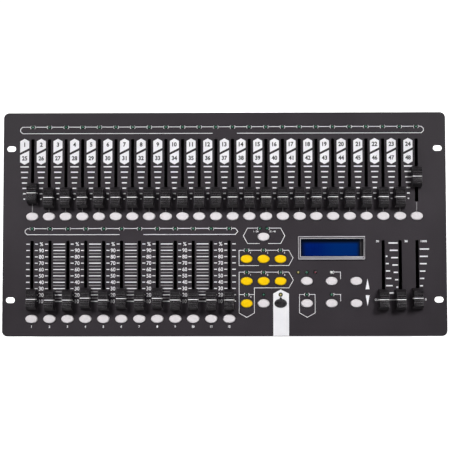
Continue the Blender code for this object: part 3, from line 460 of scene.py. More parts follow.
def make_panel_sheet():
    """The punched sheet with its edges rounded by the paint."""
    outline = rounded_rectangle(0, 0, PANEL_HIGH.x - PANEL_LOW.x, PANEL_HIGH.y - PANEL_LOW.y,
                                PANEL_CORNER, 10)
    holes = [rounded_rectangle(i * RACK_SLOT_X, j * RACK_SLOT_Y, RACK_SLOT_LENGTH,
                               RACK_SLOT_HEIGHT, RACK_SLOT_HEIGHT / 2, 10)
             for i in (-1, 1) for j in (-1, 1)]
    holes += [rounded_rectangle(x, y, SLOT_WIDTH, SLOT_LENGTH, SLOT_ROUND, 3) for x, y in SLOTS]
    holes += [key_hole(name, x, y) for name, keys in MATS.items() for x, y in keys]
    holes += [lamp_hole(x, y) for x, y in LAMPS]
    holes.append(window_outline(WINDOW_HOLE_GAP, WINDOW_HOLE_CORNER))
    punches = together([prism(hole, PANEL_BOTTOM - PUNCH_EXCESS, PANEL_TOP + PUNCH_EXCESS)
                        for hole in holes])
    return softened(cut(prism(outline, PANEL_BOTTOM, PANEL_TOP), punches), PANEL_EDGE_ROUND)


PANEL_PAINT = finished(
    "dark_satin_paint", screen(48, 44, 48), screen(59, 54, 59), (0.4, 0.52), 0.35 * MM, 45 * MM,
    share=0.45, relief=0.12, edge=screen(96, 92, 96), reach=0.25 * MM, wear_and_highlight=0.4,
    Specular_IOR_Level=0.2)
panel_sheet = piece("panel_sheet", smooth(make_panel_sheet(), 20.0), "console", "panel_paint",
                    PANEL_PAINT)
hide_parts("front_panel")

STUD_RADIUS = 2.5 * MM
STUD_CHAMFER = 0.4 * MM
STUD_GAP = 0.3 * MM
# each row of faders with its studs, which stand on the right of the faders of these numbers
STUD_ROWS = ((CHANNEL_XS, CHANNEL_SLOT_Y, (2, 8, 16, 22)),
             (PLAYBACK_XS, PLAYBACK_SLOT_Y, (1, 6, 11)), (RIGHT_XS, PLAYBACK_SLOT_Y, (1,)))
DISPLAY_STUD_RADIUS = 2.0 * MM
DISPLAY_STUD_CHAMFER = 0.3 * MM
DISPLAY_STUD_LENGTH = 6.4 * MM
DISPLAY_STUD_X = 37.5 * MM
DISPLAY_STUD_Y = 15.5 * MM
TAB_WIDTH = 30.0 * MM
TAB_THICKNESS = 1.5 * MM
TAB_DEPTH = 12.0 * MM
TAB_ROUND = 0.3 * MM
SIDE_TAB_X = 217.75 * MM
LONG_TAB_X = 109.25 * MM
LONG_TAB_YS = (-115.75 * MM, 111.75 * MM)


def make_stud(x, y, foot, radius, chamfer):
    """A stud that hangs from the panel down to a chamfered foot."""
    height = PANEL_BOTTOM - foot
    return turned([(0, 0), (radius - chamfer, 0), (radius, chamfer), (radius, height),
                   (0, height)], 16, Matrix.Translation((x, y, foot)))


def make_studs_and_tabs():
    """Studs for the boards and the display, and tabs for the tub's screws."""
    studs = []
    for xs, y, lefts in STUD_ROWS:
        studs += [make_stud((xs[i - 1] + xs[i]) / 2, y + end * FADER_TRAVEL / 2,
                            BOARD_TOP + STUD_GAP, STUD_RADIUS, STUD_CHAMFER)
                  for i in lefts for end in (-1, 1)]
    studs += [make_stud(DISPLAY_X + i * DISPLAY_STUD_X, DISPLAY_Y + j * DISPLAY_STUD_Y,
                        PANEL_BOTTOM - DISPLAY_STUD_LENGTH, DISPLAY_STUD_RADIUS,
                        DISPLAY_STUD_CHAMFER) for i in (-1, 1) for j in (-1, 1)]
    heights = (PANEL_BOTTOM - TAB_DEPTH, PANEL_BOTTOM)
    tabs = []
    for side in (-1, 1):
        tabs.append(block(side * SIDE_TAB_X, CHANNEL_SLOT_Y, TAB_THICKNESS, TAB_WIDTH, *heights))
        tabs += [block(side * LONG_TAB_X, y, TAB_WIDTH, TAB_THICKNESS, *heights)
                 for y in LONG_TAB_YS]
    return together(studs + [softened(together(tabs), TAB_ROUND)])


ZINC = finished("zinc_plate", screen(150, 150, 148), screen(186, 186, 182), (0.3, 0.45), 0.2 * MM,
                6 * MM, relief=0.1, Metallic=1.0)
piece("panel_studs_and_tabs", smooth(make_studs_and_tabs()), "console", "frame_metal", ZINC)


# Panel print: white ink, screen printed on the paint. Scales and outlines are thin solid films,
# with plain numbers for the channels and the scales; their sizes and places are millimetres.
INK_LOW = PANEL_TOP - 0.03 * MM
INK_HIGH = PANEL_TOP + 0.04 * MM
INK_MIDDLE = (INK_LOW + INK_HIGH) / 2
FIGURE_LIFT = 0.02 * MM
LINE = 0.66
CONTROL_LINE = 0.56
FINE_LINE = 0.54
# half the gap that a line leaves at a lamp, and the arcs beside the lamp
LAMP_GAP = 2.5
ARC_RADIUS = 2.7
ARC_LINE = 0.45


def node_tree(name, inputs):
    """An empty Geometry Nodes tree with named inputs after its geometry."""
    tree = bpy.data.node_groups.new(name, "GeometryNodeTree")
    tree.interface.new_socket("Geometry", in_out="INPUT", socket_type="NodeSocketGeometry")
    tree.interface.new_socket("Geometry", in_out="OUTPUT", socket_type="NodeSocketGeometry")
    for label, kind in inputs + [("Finish", "NodeSocketMaterial")]:
        tree.interface.new_socket(label, in_out="INPUT", socket_type=kind)
    return tree, tree.nodes.new("NodeGroupInput"), tree.nodes.new("NodeGroupOutput")


def end_tree(tree, given, out, points, shape, scale=(1, 1, 1)):
    """End a tree with the shape on its points, as real geometry in its finish."""
    placed = add_node(tree, "GeometryNodeInstanceOnPoints",
                      {"Points": points, "Instance": shape, "Scale": scale})
    real = add_node(tree, "GeometryNodeRealizeInstances",
                    {"Geometry": placed.outputs["Instances"]})
    dressed = add_node(tree, "GeometryNodeSetMaterial",
                       {"Geometry": real.outputs["Geometry"],
                        "Material": given.outputs["Finish"]})
    tree.links.new(dressed.outputs["Geometry"], out.inputs["Geometry"])
    return tree


def grown(mesh, tree, **values):
    """The plain mesh that a tree makes of the mesh with the given inputs."""
    holder = temporary(mesh)
    modifier = holder.modifiers.new(tree.name, "NODES")
    modifier.node_group = tree
    for socket in tree.interface.items_tree:
        key = socket.name.replace(" ", "_")
        if socket.in_out == "INPUT" and key in values:
            modifier[socket.identifier] = values[key]
    return taken(holder)


def build_row():
    """Copies of the mesh in a straight row."""
    tree, given, out = node_tree("row_of_copies", [("Copies", "NodeSocketInt"),
                                                   ("Step", "NodeSocketVector")])
    line = add_node(tree, "GeometryNodeMeshLine",
                    {"Count": given.outputs["Copies"], "Offset": given.outputs["Step"]},
                    mode="OFFSET")
    return end_tree(tree, given, out, line.outputs["Mesh"], given.outputs["Geometry"])


def build_ladder():
    """Bars one below the other, whose widths run evenly from the first to the last."""
    tree, given, out = node_tree(
        "bar_ladder", [("Bars", "NodeSocketInt"), ("Pitch", "NodeSocketFloat"),
                       ("First Width", "NodeSocketFloat"), ("Last Width", "NodeSocketFloat"),
                       ("Height", "NodeSocketFloat"), ("Film", "NodeSocketFloat"),
                       ("Lean", "NodeSocketFloat"), ("Start", "NodeSocketVector")])
    bars, pitch, first, last, height, thickness, lean, start = given.outputs[1:9]

    def sum_of(operation, a, b):
        return add_node(tree, "ShaderNodeMath", {0: a, 1: b}, operation=operation).outputs[0]

    number = tree.nodes.new("GeometryNodeInputIndex").outputs["Index"]
    share = sum_of("DIVIDE", number, sum_of("SUBTRACT", bars, 1))
    width = sum_of("ADD", first, sum_of("MULTIPLY", share, sum_of("SUBTRACT", last, first)))
    place = add_node(tree, "ShaderNodeCombineXYZ",
                     {"X": sum_of("MULTIPLY", width, sum_of("MULTIPLY", lean, -0.5)),
                      "Y": sum_of("MULTIPLY", number, sum_of("MULTIPLY", pitch, -1))})
    from_start = add_node(tree, "ShaderNodeVectorMath", {0: place.outputs["Vector"], 1: start})
    points = add_node(tree, "GeometryNodePoints",
                      {"Count": bars, "Position": from_start.outputs["Vector"]})
    size = add_node(tree, "ShaderNodeCombineXYZ", {"X": width, "Y": height, "Z": thickness})
    bar = tree.nodes.new("GeometryNodeMeshCube")
    return end_tree(tree, given, out, points.outputs[0], bar.outputs["Mesh"],
                    size.outputs["Vector"])


ROW = build_row()
LADDER = build_ladder()

INK = finished("white_ink", screen(233, 232, 236), screen(245, 244, 247), (0.5, 0.65), 0.5 * MM,
               12 * MM, relief=0.08)
DIM_INK = finished("grey_ink", screen(128, 125, 128), screen(152, 149, 152), (0.5, 0.65),
                   0.5 * MM, 12 * MM, relief=0.08)
DARK_INK = finished("dark_ink", screen(26, 24, 28), screen(40, 38, 42), (0.5, 0.65), 0.5 * MM,
                    12 * MM, relief=0.08)


def row_of(mesh, copies, step, ink=INK):
    """The mesh repeated to the right."""
    return grown(mesh, ROW, Copies=copies, Step=(step * MM, 0.0, 0.0), Finish=ink)


def ladder(x, y, bars, pitch, first, last, height, ink=INK, lean=0):
    """A ladder of printed bars that starts at x, y.

    Lean 0 keeps the bars' middles in line, -1 their left ends and 1 their right ends."""
    seed = mesh_from(bmesh.new())
    return grown(seed, LADDER, Bars=bars, Pitch=pitch * MM, First_Width=first * MM,
                 Last_Width=last * MM, Height=height * MM, Film=INK_HIGH - INK_LOW,
                 Lean=float(lean), Start=(x * MM, y * MM, INK_MIDDLE), Finish=ink)


def film(outlines):
    """Printed areas with the given outlines."""
    return together([prism([(x * MM, y * MM) for x, y in outline], INK_LOW, INK_HIGH)
                     for outline in outlines])


def stroke(points, width):
    """The outline of a printed line of some width through points."""
    points = [Vector(p) for p in points]
    left, right = [], []
    for i, point in enumerate(points):
        before = (point - points[i - 1]).normalized() if i else None
        after = (points[i + 1] - point).normalized() if i + 1 < len(points) else None
        along = ((before or after) + (after or before)).normalized()
        across = Vector((-along.y, along.x))
        reach = width / 2 / max(0.3, along.dot(after or before))
        left.append(point + across * reach)
        right.append(point - across * reach)
    return [tuple(p) for p in right + left[::-1]]


def bracket(x, y, side):
    """A short arc round a lamp, on its right for side 1 and on its left for side -1."""
    turns = [math.radians(i * 10) for i in range(-4, 5)]
    return stroke([(x + side * ARC_RADIUS * math.cos(a), y + ARC_RADIUS * math.sin(a))
                   for a in turns], ARC_LINE)


def numeral(text, x, y, height, squeeze, bold=0.036):
    """Plain figures whose middle is at x, y."""
    curve = bpy.data.curves.new("figures", "FONT")
    curve.body = text
    curve.resolution_u = 3
    curve.extrude = 0.5
    curve.offset = bold
    bm = bmesh.new()
    bm.from_mesh(taken(temporary(curve)))
    bmesh.ops.remove_doubles(bm, verts=bm.verts, dist=1e-4)
    bmesh.ops.recalc_face_normals(bm, faces=bm.faces)
    lows = [min(v.co[i] for v in bm.verts) for i in (0, 1)]
    highs = [max(v.co[i] for v in bm.verts) for i in (0, 1)]
    scale = height * MM / (highs[1] - lows[1])
    centre = Vector(((lows[0] + highs[0]) / 2, (lows[1] + highs[1]) / 2, 0))
    bm.transform(Matrix.Translation((x * MM, y * MM, INK_MIDDLE + FIGURE_LIFT))
                 @ Matrix.Diagonal((scale * squeeze, scale, INK_HIGH - INK_LOW, 1.0))
                 @ Matrix.Translation(-centre))
    return mesh_from(bm)


def mm(metres):
    """A length in millimetres."""
    return metres / MM


# from a channel fader to its number plate, and the two halves of a plate about that place
PLATE_SHIFT = -8.9
PLATE_HALVES = (
    [(-4.95, 78.3), (4.95, 83.3), (4.95, 91.0), (0.0, 93.7), (-4.95, 91.0)],
    [(0.0, 65.2), (4.95, 68.0), (4.95, 80.6), (-4.95, 75.8), (-4.95, 68.0)],
)


def make_channel_print():
    """Outline with gaps for the lamps, number plates, scales and leads to the keys."""
    count, pitch = len(CHANNEL_XS), mm(CHANNEL_XS[1] - CHANNEL_XS[0])
    first, last, lamp = mm(CHANNEL_XS[0]), mm(CHANNEL_XS[-1]), mm(CHANNEL_LAMP_Y)
    top, bottom = lamp + 0.25, 99.3
    ends = film([
        stroke([(first - LAMP_GAP, top), (-220.5, top), (-222.8, top - 2.3),
                (-222.8, bottom + 2.3), (-220.5, bottom), (-12.6, bottom)], LINE),
        stroke([(14.0, bottom), (215.1, bottom), (217.4, bottom + 2.3), (217.4, top - 2.3),
                (215.1, top), (last + LAMP_GAP, top)], LINE),
    ])
    between = film([stroke([(first + LAMP_GAP, top), (first + pitch - LAMP_GAP, top)], LINE)])
    arcs = film([bracket(first, lamp, side) for side in (-1, 1)])
    plate_x = first + PLATE_SHIFT
    plate = film([[(plate_x + x, y) for x, y in half] for half in PLATE_HALVES])
    bars = ladder(plate_x, 62.8, 7, 5.88, 9.1, 1.8, 1.3)
    lead = film([stroke([(first, 23.6), (first, 13.4)], 0.75)])
    parts = [(ends, 0), (row_of(between, count - 1, pitch), 0)]
    parts += [(row_of(mesh, count, pitch), 0) for mesh in (arcs, plate, bars)]
    parts.append((row_of(lead, count, pitch, DIM_INK), 1))
    for i, x in enumerate(CHANNEL_XS):
        for number, y in ((i + 1, 87.2), (i + 1 + count, 72.2)):
            parts.append((numeral(str(number), mm(x) + PLATE_SHIFT, y, 4.8, 0.95), 2))
    return joined(parts)


piece("channel_print", make_channel_print(), "console", "white_rubber", INK, DIM_INK, DARK_INK)

SCALE_TOP = -21.7
SCALE_STEPS = 10
SCALE_PITCH = 6.91


def make_playback_print():
    """Outline, per cent scales between the faders and numbers under the keys."""
    count, pitch = len(PLAYBACK_XS), mm(PLAYBACK_XS[1] - PLAYBACK_XS[0])
    first, last, lamp = mm(PLAYBACK_XS[0]), mm(PLAYBACK_XS[-1]), mm(PLAYBACK_LAMP_Y)
    top, bottom = lamp + 0.3, -11.4
    ends = film([
        stroke([(first - LAMP_GAP, top), (-214.7, top), (-217.0, top - 2.2),
                (-217.0, bottom + 2.2), (-214.7, bottom), (-114.0, bottom)], LINE),
        stroke([(-88.0, bottom), (12.0, bottom), (14.8, (top + bottom) / 2), (12.0, top),
                (last + LAMP_GAP, top)], LINE),
    ])
    between = film([stroke([(first + LAMP_GAP, top), (first + pitch - LAMP_GAP, top)], LINE)])
    arcs = film([bracket(first, lamp, side) for side in (-1, 1)])
    parts = [(ends, 0), (row_of(between, count - 1, pitch), 0), (row_of(arcs, count, pitch), 0)]
    # a scale of figures with a tick on each side between every second pair of faders
    scale = [numeral("%" if i == 0 else str(100 - 10 * i), -199.0, SCALE_TOP - SCALE_PITCH * i,
                     4.2, 0.95, 0.012) for i in range(SCALE_STEPS)]
    scale += [ladder(x, SCALE_TOP, SCALE_STEPS, SCALE_PITCH, 3.3, 3.3, 0.95)
              for x in (-204.6, -193.4)]
    parts.append((row_of(together(scale), 6, 2 * pitch), 0))
    # plain bars between the other pairs, with grey ones for the halves
    tens = ladder(-179.65, SCALE_TOP, SCALE_STEPS, SCALE_PITCH, 13.0, 13.0, 1.0)
    fives = ladder(-179.65, SCALE_TOP - 3.45, SCALE_STEPS - 1, SCALE_PITCH, 13.0, 13.0, 0.9,
                   DIM_INK)
    parts += [(row_of(tens, 5, 2 * pitch), 0), (row_of(fives, 5, 2 * pitch, DIM_INK), 1)]
    parts += [(ladder(x, SCALE_TOP, SCALE_STEPS, SCALE_PITCH, 3.9, 3.9, 1.0), 0)
              for x in (-213.6, 10.5)]
    parts += [(numeral(str(i + 1), mm(x), -111.3, 2.6, 0.95), 0)
              for i, x in enumerate(PLAYBACK_XS)]
    return joined(parts)


piece("playback_print", make_playback_print(), "console", "white_rubber", INK, DIM_INK)

# left and right sides of the outlines round the yellow keys
GROUP_LEFT = 16.0
GROUP_RIGHT = 70.0
CONTROL_LINES = [
    # round the page key and its two lamps
    [(36.4, -4.65), (25.2, -4.65), (20.7, -13.1), (25.2, -21.4), (38.4, -21.4)],
    [(47.6, -21.4), (61.3, -21.4), (65.8, -13.1), (61.3, -4.65), (49.0, -4.65)],
    # round the scene keys
    [(37.4, -45.4), (GROUP_LEFT, -45.4), (GROUP_LEFT, -28.8), (21.4, -28.8)],
    [(63.8, -28.8), (GROUP_RIGHT, -28.8), (74.6, -37.1), (GROUP_RIGHT, -45.4), (48.6, -45.4)],
    [(26.9, -28.8), (39.8, -28.8)],
    [(45.3, -28.8), (58.2, -28.8)],
    # round the chase keys
    [(21.4, -52.5), (GROUP_LEFT, -52.5), (GROUP_LEFT, -96.8), (24.2, -101.5), (32.5, -96.8),
     (32.5, -69.6), (GROUP_RIGHT, -69.6), (74.8, -61.2), (GROUP_RIGHT, -52.5), (63.8, -52.5)],
    [(26.9, -52.5), (39.8, -52.5)],
    [(45.3, -52.5), (58.2, -52.5)],
    [(GROUP_LEFT, -76.8), (21.4, -76.8)],
    [(26.9, -76.8), (32.5, -76.8)],
]
FUNCTION_LINES = [
    # round the key under the first function lamp
    [(86.6, -76.8), (81.4, -76.8), (81.4, -96.8), (89.8, -101.5), (98.3, -96.8),
     (98.3, -76.8), (92.3, -76.8)],
    # corner marks right of the second function lamps
    [(119.3, -52.5), (126.0, -52.5), (126.0, -60.2)],
    [(119.3, -76.8), (126.0, -76.8), (126.0, -84.2)],
]
UP_ARROW = [(153.0, -71.3), (157.4, -71.3), (155.2, -59.8)]
DOWN_ARROW = [(155.2, -89.3), (157.4, -77.7), (153.0, -77.7)]
# the level of the zero marks, from beside the wait-time fader to the fade-time fader
ZERO_LINE = [(169.8, -82.7), (192.0, -82.7)]
# ladders of the fade time, the wait time and the master: place, bars, widths and lean
TIME_LADDERS = ((188.4, -21.1, 8, 10.2, 0.6, 1), (175.2, -35.5, 6, 1.8, 8.6, -1),
                (212.0, -27.7, 6, 10.2, 3.2, -1))
# figures: text, place, height and width over the plain face's own
CONTROL_FIGURES = (
    ("1", 28.5, -31.4, 1.9, 0.95), ("2", 47.0, -31.4, 1.9, 0.95), ("3", 65.4, -31.4, 1.9, 0.95),
    ("1", 28.5, -55.4, 1.9, 0.95), ("2", 47.0, -55.4, 1.9, 0.95), ("3", 65.4, -55.4, 1.9, 0.95),
    ("4", 28.6, -79.4, 1.9, 0.95), ("1 - 24", 34.4, -8.3, 1.9, 0.95),
    ("25 - 48", 52.4, -8.3, 1.9, 0.95), ("30", 166.4, -19.2, 2.3, 1.15),
    ("30", 197.4, -19.2, 2.3, 1.15), ("100%", 216.6, -19.2, 2.3, 1.1),
    ("0.0", 165.6, -82.5, 2.6, 1.3), ("0", 218.1, -82.3, 2.5, 1.0),
)


def make_control_print():
    """Outlines round the key groups, arrows, and the scales of the right-hand faders."""
    areas = [stroke(points, CONTROL_LINE) for points in CONTROL_LINES]
    areas += [stroke(points, FINE_LINE) for points in FUNCTION_LINES]
    lamps = [(x, y) for y in (SCENE_Y, CHASE_Y) for x in CONTROL_XS]
    lamps += [(CONTROL_XS[0], LOWER_Y), (FUNCTION_XS[0], LOWER_Y)]
    areas += [bracket(mm(x), mm(y + KEY_TO_LAMP), side) for x, y in lamps for side in (-1, 1)]
    areas += [bracket(mm(FUNCTION_XS[1]), mm(y + KEY_TO_LAMP), 1) for y in FUNCTION_YS]
    areas += [bracket(mm(PAGE_X + side * PAGE_LAMP_REACH), mm(PLAYBACK_LAMP_Y), side)
              for side in (-1, 1)]
    areas += [UP_ARROW, DOWN_ARROW, stroke(ZERO_LINE, 0.8)]
    scales = [ladder(x, y, bars, 7.97, first, last, 1.45, lean=lean)
              for x, y, bars, first, last, lean in TIME_LADDERS]
    figures = [numeral(*figure, bold=0.03) for figure in CONTROL_FIGURES]
    return together([film(areas)] + scales + figures)


BAND_OUTLINE = [(52.9, -121.6), (70.0, -121.6), (70.0, -75.8), (61.1, -71.3), (52.9, -75.8)]
BAND_CLEARANCE = 0.4 * MM
BAND_DARK_MARK = [(59.5, -81.6), (62.5, -81.6), (61.6, -79.6), (60.4, -79.6)]


def make_blackout_band():
    """White band round the blackout key, open where the key's and the lamp's holes are."""
    x = CONTROL_XS[2]
    holes = (key_hole("blackout_key", x, LOWER_Y, BAND_CLEARANCE),
             lamp_hole(x, LOWER_Y + KEY_TO_LAMP, BAND_CLEARANCE))
    tools = together([prism(hole, INK_LOW - PUNCH_EXCESS, INK_HIGH + PUNCH_EXCESS)
                      for hole in holes])
    return cut(film([BAND_OUTLINE]), tools)


# a small dark mark on the band just above the blackout key, towards its lamp
band_dark_mark = film([BAND_DARK_MARK])
band_dark_mark.transform(Matrix.Translation((0, 0, FIGURE_LIFT)))
control_print = joined([(make_control_print(), 0), (make_blackout_band(), 0), (band_dark_mark, 1)])
piece("control_print", control_print, "console", "white_rubber", INK, DARK_INK)


# Key mats: silicone rubber pressed against the panel from below, in one piece with the crowned
# oval keys that stand through its holes; each key works a switch on the board under it.
KEY_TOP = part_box("page_key")[1].z
MAT_TOP = PANEL_BOTTOM - 0.3 * MM
MAT_THICKNESS = 1.2 * MM
MAT_CORNER = 1.2 * MM
MAT_MARGIN_X = 2.2 * MM
MAT_MARGIN_Y = 2.4 * MM
MAT_STRIP = 5.6 * MM
MAT_OVERLAP = 0.5 * MM
# where a strip joins the two rows of a mat
MAT_JOINTS = {
    "chase_keypad": CONTROL_XS[0] - KEY_WIDTH / 2 - MAT_MARGIN_X + MAT_STRIP / 2,
    "function_keypad": (FUNCTION_XS[1] + FUNCTION_XS[2]) / 2,
}
# rings of a key: share of its width, and depth in millimetres under the crown's top
KEY_RINGS = ((1.0, 4.1), (0.995, 1.0), (0.985, 0.6), (0.965, 0.36), (0.93, 0.2), (0.84, 0.1),
             (0.6, 0.03), (0.3, 0.0))


def build_copies():
    """A copy of another object's shape on every point of the mesh."""
    tree, given, out = node_tree("copies_at_points", [("Shape", "NodeSocketObject")])
    shape = add_node(tree, "GeometryNodeObjectInfo", {"Object": given.outputs["Shape"]},
                     transform_space="ORIGINAL")
    return end_tree(tree, given, out, given.outputs["Geometry"], shape.outputs["Geometry"])


COPIES = build_copies()


def copies_of(shape, places, finish):
    """The shape's mesh repeated at the places."""
    points = bpy.data.meshes.new("places")
    points.from_pydata([tuple(place) for place in places], [], [])
    holder = temporary(shape)
    result = grown(points, COPIES, Shape=holder, Finish=finish)
    bpy.data.objects.remove(holder)
    return result


def make_key(width):
    """One crowned key, with its top's middle at the origin."""
    return loft([[(x, y, -drop * MM) for x, y in oval(0, 0, width * share, KEY_DEPTH * share, 32)]
                 for share, drop in KEY_RINGS])


def make_mat(name):
    """A mat's strips with its keys on them."""
    keys = MATS[name]
    half_x, half_y = KEY_WIDTH / 2 + MAT_MARGIN_X, KEY_DEPTH / 2 + MAT_MARGIN_Y
    rows = sorted({y for _, y in keys})
    strips = []
    for y in rows:
        xs = [x for x, key_y in keys if key_y == y]
        outline = rounded_rectangle((min(xs) + max(xs)) / 2, y, max(xs) - min(xs) + 2 * half_x,
                                    2 * half_y, MAT_CORNER, 4)
        strips.append(prism(outline, MAT_TOP - MAT_THICKNESS, MAT_TOP))
    if name in MAT_JOINTS:
        gap = rows[1] - rows[0] - 2 * half_y
        strips.append(block(MAT_JOINTS[name], sum(rows) / 2, MAT_STRIP, gap + 2 * MAT_OVERLAP,
                            MAT_TOP - MAT_THICKNESS, MAT_TOP))
    tops = copies_of(make_key(key_width(name)), [(x, y, KEY_TOP) for x, y in keys], None)
    return joined([(together(strips), 0), (tops, 0)])


# The white and yellow keys' rims are painted lighter: a painted highlight.
OFF_WHITE = finished(
    "off_white_rubber", screen(216, 211, 214), screen(232, 227, 230), (0.5, 0.62), 0.6 * MM,
    3.5 * MM, share=0.55, relief=0.1, edge=screen(246, 243, 246), reach=0.9 * MM, wear_and_highlight=0.8,
    Specular_IOR_Level=0.25)
YELLOW = finished(
    "yellow_rubber_keys", screen(244, 192, 2), screen(254, 214, 6), (0.5, 0.62), 0.6 * MM,
    3.5 * MM, share=0.55, relief=0.1, edge=screen(255, 236, 90), reach=0.9 * MM, wear_and_highlight=0.7,
    Specular_IOR_Level=0.12)
# The black key's stretched dark-to-light mottle paints streaks of reflection on its crown, and its
# rim is painted lighter as a highlight.
BLACK_KEY = finished(
    "black_rubber_key", screen(8, 7, 8), screen(70, 68, 71), (0.12, 0.3), 0.6 * MM,
    3.2 * MM, share=0.8, relief=0.1, edge=screen(112, 110, 114), reach=0.9 * MM, wear_and_highlight=0.8,
    stretch=(1.6, 1.0, 1.0), Specular_IOR_Level=0.4)
RUBBERS = {
    "scene_keypad": ("yellow_rubber", YELLOW),
    "chase_keypad": ("yellow_rubber", YELLOW),
    "blackout_key": ("black_rubber", BLACK_KEY),
}
for mat_name in MATS:
    slot_name, rubber = RUBBERS.get(mat_name, ("white_rubber", OFF_WHITE))
    mat = piece(f"{mat_name}_rubber", smooth(make_mat(mat_name)), mat_name, slot_name, rubber)
    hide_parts(mat_name)


# Display: a blue character display in its black holder on a green board, hung on four studs
# behind the cut-out, and a stepped satin metal frame pushed into the cut-out from above.
MODULE_LOW, MODULE_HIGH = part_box("display_module")
FRAME_LOW, FRAME_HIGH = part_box("display_frame")
FRAME_CORNER = 1.0 * MM
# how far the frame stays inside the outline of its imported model
FRAME_INSET_LEFT = 0.35 * MM
FRAME_INSET_RIGHT = 0.1 * MM
FRAME_INSET_Y = 0.45 * MM
# section of the frame: share of the border from its outer edge, and millimetres under its top
FRAME_SECTION = ((0.0, 0.3), (0.06, 0.05), (0.1, 0.0), (0.25, 0.0), (0.3, 0.6), (0.54, 0.65),
                 (0.6, 0.1), (0.62, 0.05), (0.86, 0.1), (0.9, 0.3), (1.0, 0.9))
# bands of the section in dark metal, a painted shade: the groove, and the slope and wall down to
# the glass
FRAME_SHADED_BANDS = (4, 5, 6, 10, 11)
# share of the border at which the wall down to the glass has its outer side
FRAME_WALL = 0.75
FRAME_INNER_CORNER = 0.2 * MM
FRAME_GAP = 0.05 * MM
# front and rear of the strip that covers the front groove, as shares of the front border
STRIP_FRONT = 0.16
STRIP_REAR = 0.8
STRIP_INSET = 0.5 * MM
STRIP_THICKNESS = 0.68 * MM
STRIP_SUNK = 0.02 * MM
STRIP_ROUND = 0.12 * MM
RIVET_RADIUS = 0.5 * MM
RIVET_LENGTH = 0.5 * MM
RIVET_X = 1.3 * MM
RIVET_Y = 2.4 * MM


def bar(x, y, radius, low, high, steps, matrix=Matrix.Identity(4)):
    """A plain round bar about x, y, for a rivet, a pin or a hole."""
    profile = [(0, low), (radius, low), (radius, high), (0, high)]
    return turned(profile, steps, matrix @ Matrix.Translation((x, y, 0)))


def make_display_frame():
    """Stepped frame: an outer rim, a groove, an inner rim and a wall down to the glass; the groove
    and the wall are dark metal as painted shade.

    A plain strip covers the groove along the front, with a rivet at each end in the dark metal, a
    painted shade for its dimple."""
    left, right = FRAME_LOW.x + FRAME_INSET_LEFT, FRAME_HIGH.x - FRAME_INSET_RIGHT
    front, rear = FRAME_LOW.y + FRAME_INSET_Y, FRAME_HIGH.y - FRAME_INSET_Y
    outer = rounded_rectangle((left + right) / 2, (front + rear) / 2, right - left, rear - front,
                              FRAME_CORNER, 4)
    inner = window_outline(0.0, FRAME_INNER_CORNER)
    foot, top = PANEL_TOP + FRAME_GAP, FRAME_HIGH.z
    section = [(0.0, foot)] + [(share, top - drop * MM) for share, drop in FRAME_SECTION]
    section += [(1.0, FRAME_LOW.z), (FRAME_WALL, FRAME_LOW.z), (FRAME_WALL, foot)]
    ring = loft([[(x + share * (u - x), y + share * (v - y), z)
                  for (x, y), (u, v) in zip(outer, inner)] for share, z in section], closed=True)
    for number, face in enumerate(ring.polygons):
        face.material_index = 1 if number // len(outer) in FRAME_SHADED_BANDS else 0
    border = DISPLAY_Y + WINDOW[2] - front
    left, right = left + STRIP_INSET, right - STRIP_INSET
    strip_top = top - STRIP_SUNK
    strip = box((left, front + STRIP_FRONT * border, strip_top - STRIP_THICKNESS),
                (right, front + STRIP_REAR * border, strip_top))
    rivets = together([bar(x, front + RIVET_Y, RIVET_RADIUS, top - RIVET_LENGTH, top, 12)
                       for x in (left + RIVET_X, right - RIVET_X)])
    return joined([(ring, None), (softened(strip, STRIP_ROUND), 2), (rivets, 1)])


# The frame's edges are painted lighter: a painted highlight on the metal.
SATIN_METAL = finished(
    "brushed_frame_metal", screen(190, 187, 191), screen(216, 213, 217), (0.3, 0.42), 0.25 * MM,
    5 * MM, share=0.3, relief=0.1, edge=screen(222, 220, 223), reach=0.25 * MM, wear_and_highlight=0.5,
    stretch=(14, 1, 1), Metallic=0.3)
GROOVE_SHADE_METAL = finished(
    "dull_frame_metal", screen(30, 29, 32), screen(54, 52, 56), (0.45, 0.6), 0.25 * MM, 5 * MM,
    share=0.3, stretch=(14, 1, 1), Metallic=0.4)
STRIP_METAL = finished(
    "grey_frame_metal", screen(134, 131, 136), screen(158, 155, 160), (0.35, 0.48), 0.25 * MM,
    5 * MM, share=0.3, relief=0.1, edge=screen(186, 184, 188), reach=0.25 * MM, wear_and_highlight=0.5,
    stretch=(14, 1, 1), Metallic=0.3)
frame_piece = piece("display_frame_metal", smooth(make_display_frame(), 25.0), "console",
                    "frame_metal", SATIN_METAL, GROOVE_SHADE_METAL, STRIP_METAL)
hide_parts("display_frame")

MODULE_CORNER = 1.5 * MM
HOLDER_X = 37.0 * MM
HOLDER_Y = 13.5 * MM
HOLDER_CHAMFER = 0.3 * MM
HOLDER_CORNER = 0.8 * MM
HOLDER_TOP_CORNER = 0.6 * MM
GLASS_X = 34.5 * MM
GLASS_Y = 10.0 * MM
GLASS_CORNER = 0.3 * MM
GLASS_SUNK = 0.6 * MM
GLASS_GAP = 0.05 * MM
# the grey mask on the right of the glass: how far it reaches into the window, its margins, and
# how far it lies over and under the holder's face
MASK_REACH = 3.4 * MM
MASK_MARGIN_X = 1.0 * MM
MASK_MARGIN_Y = 0.2 * MM
MASK_OVER = 0.1 * MM
MASK_UNDER = 0.8 * MM


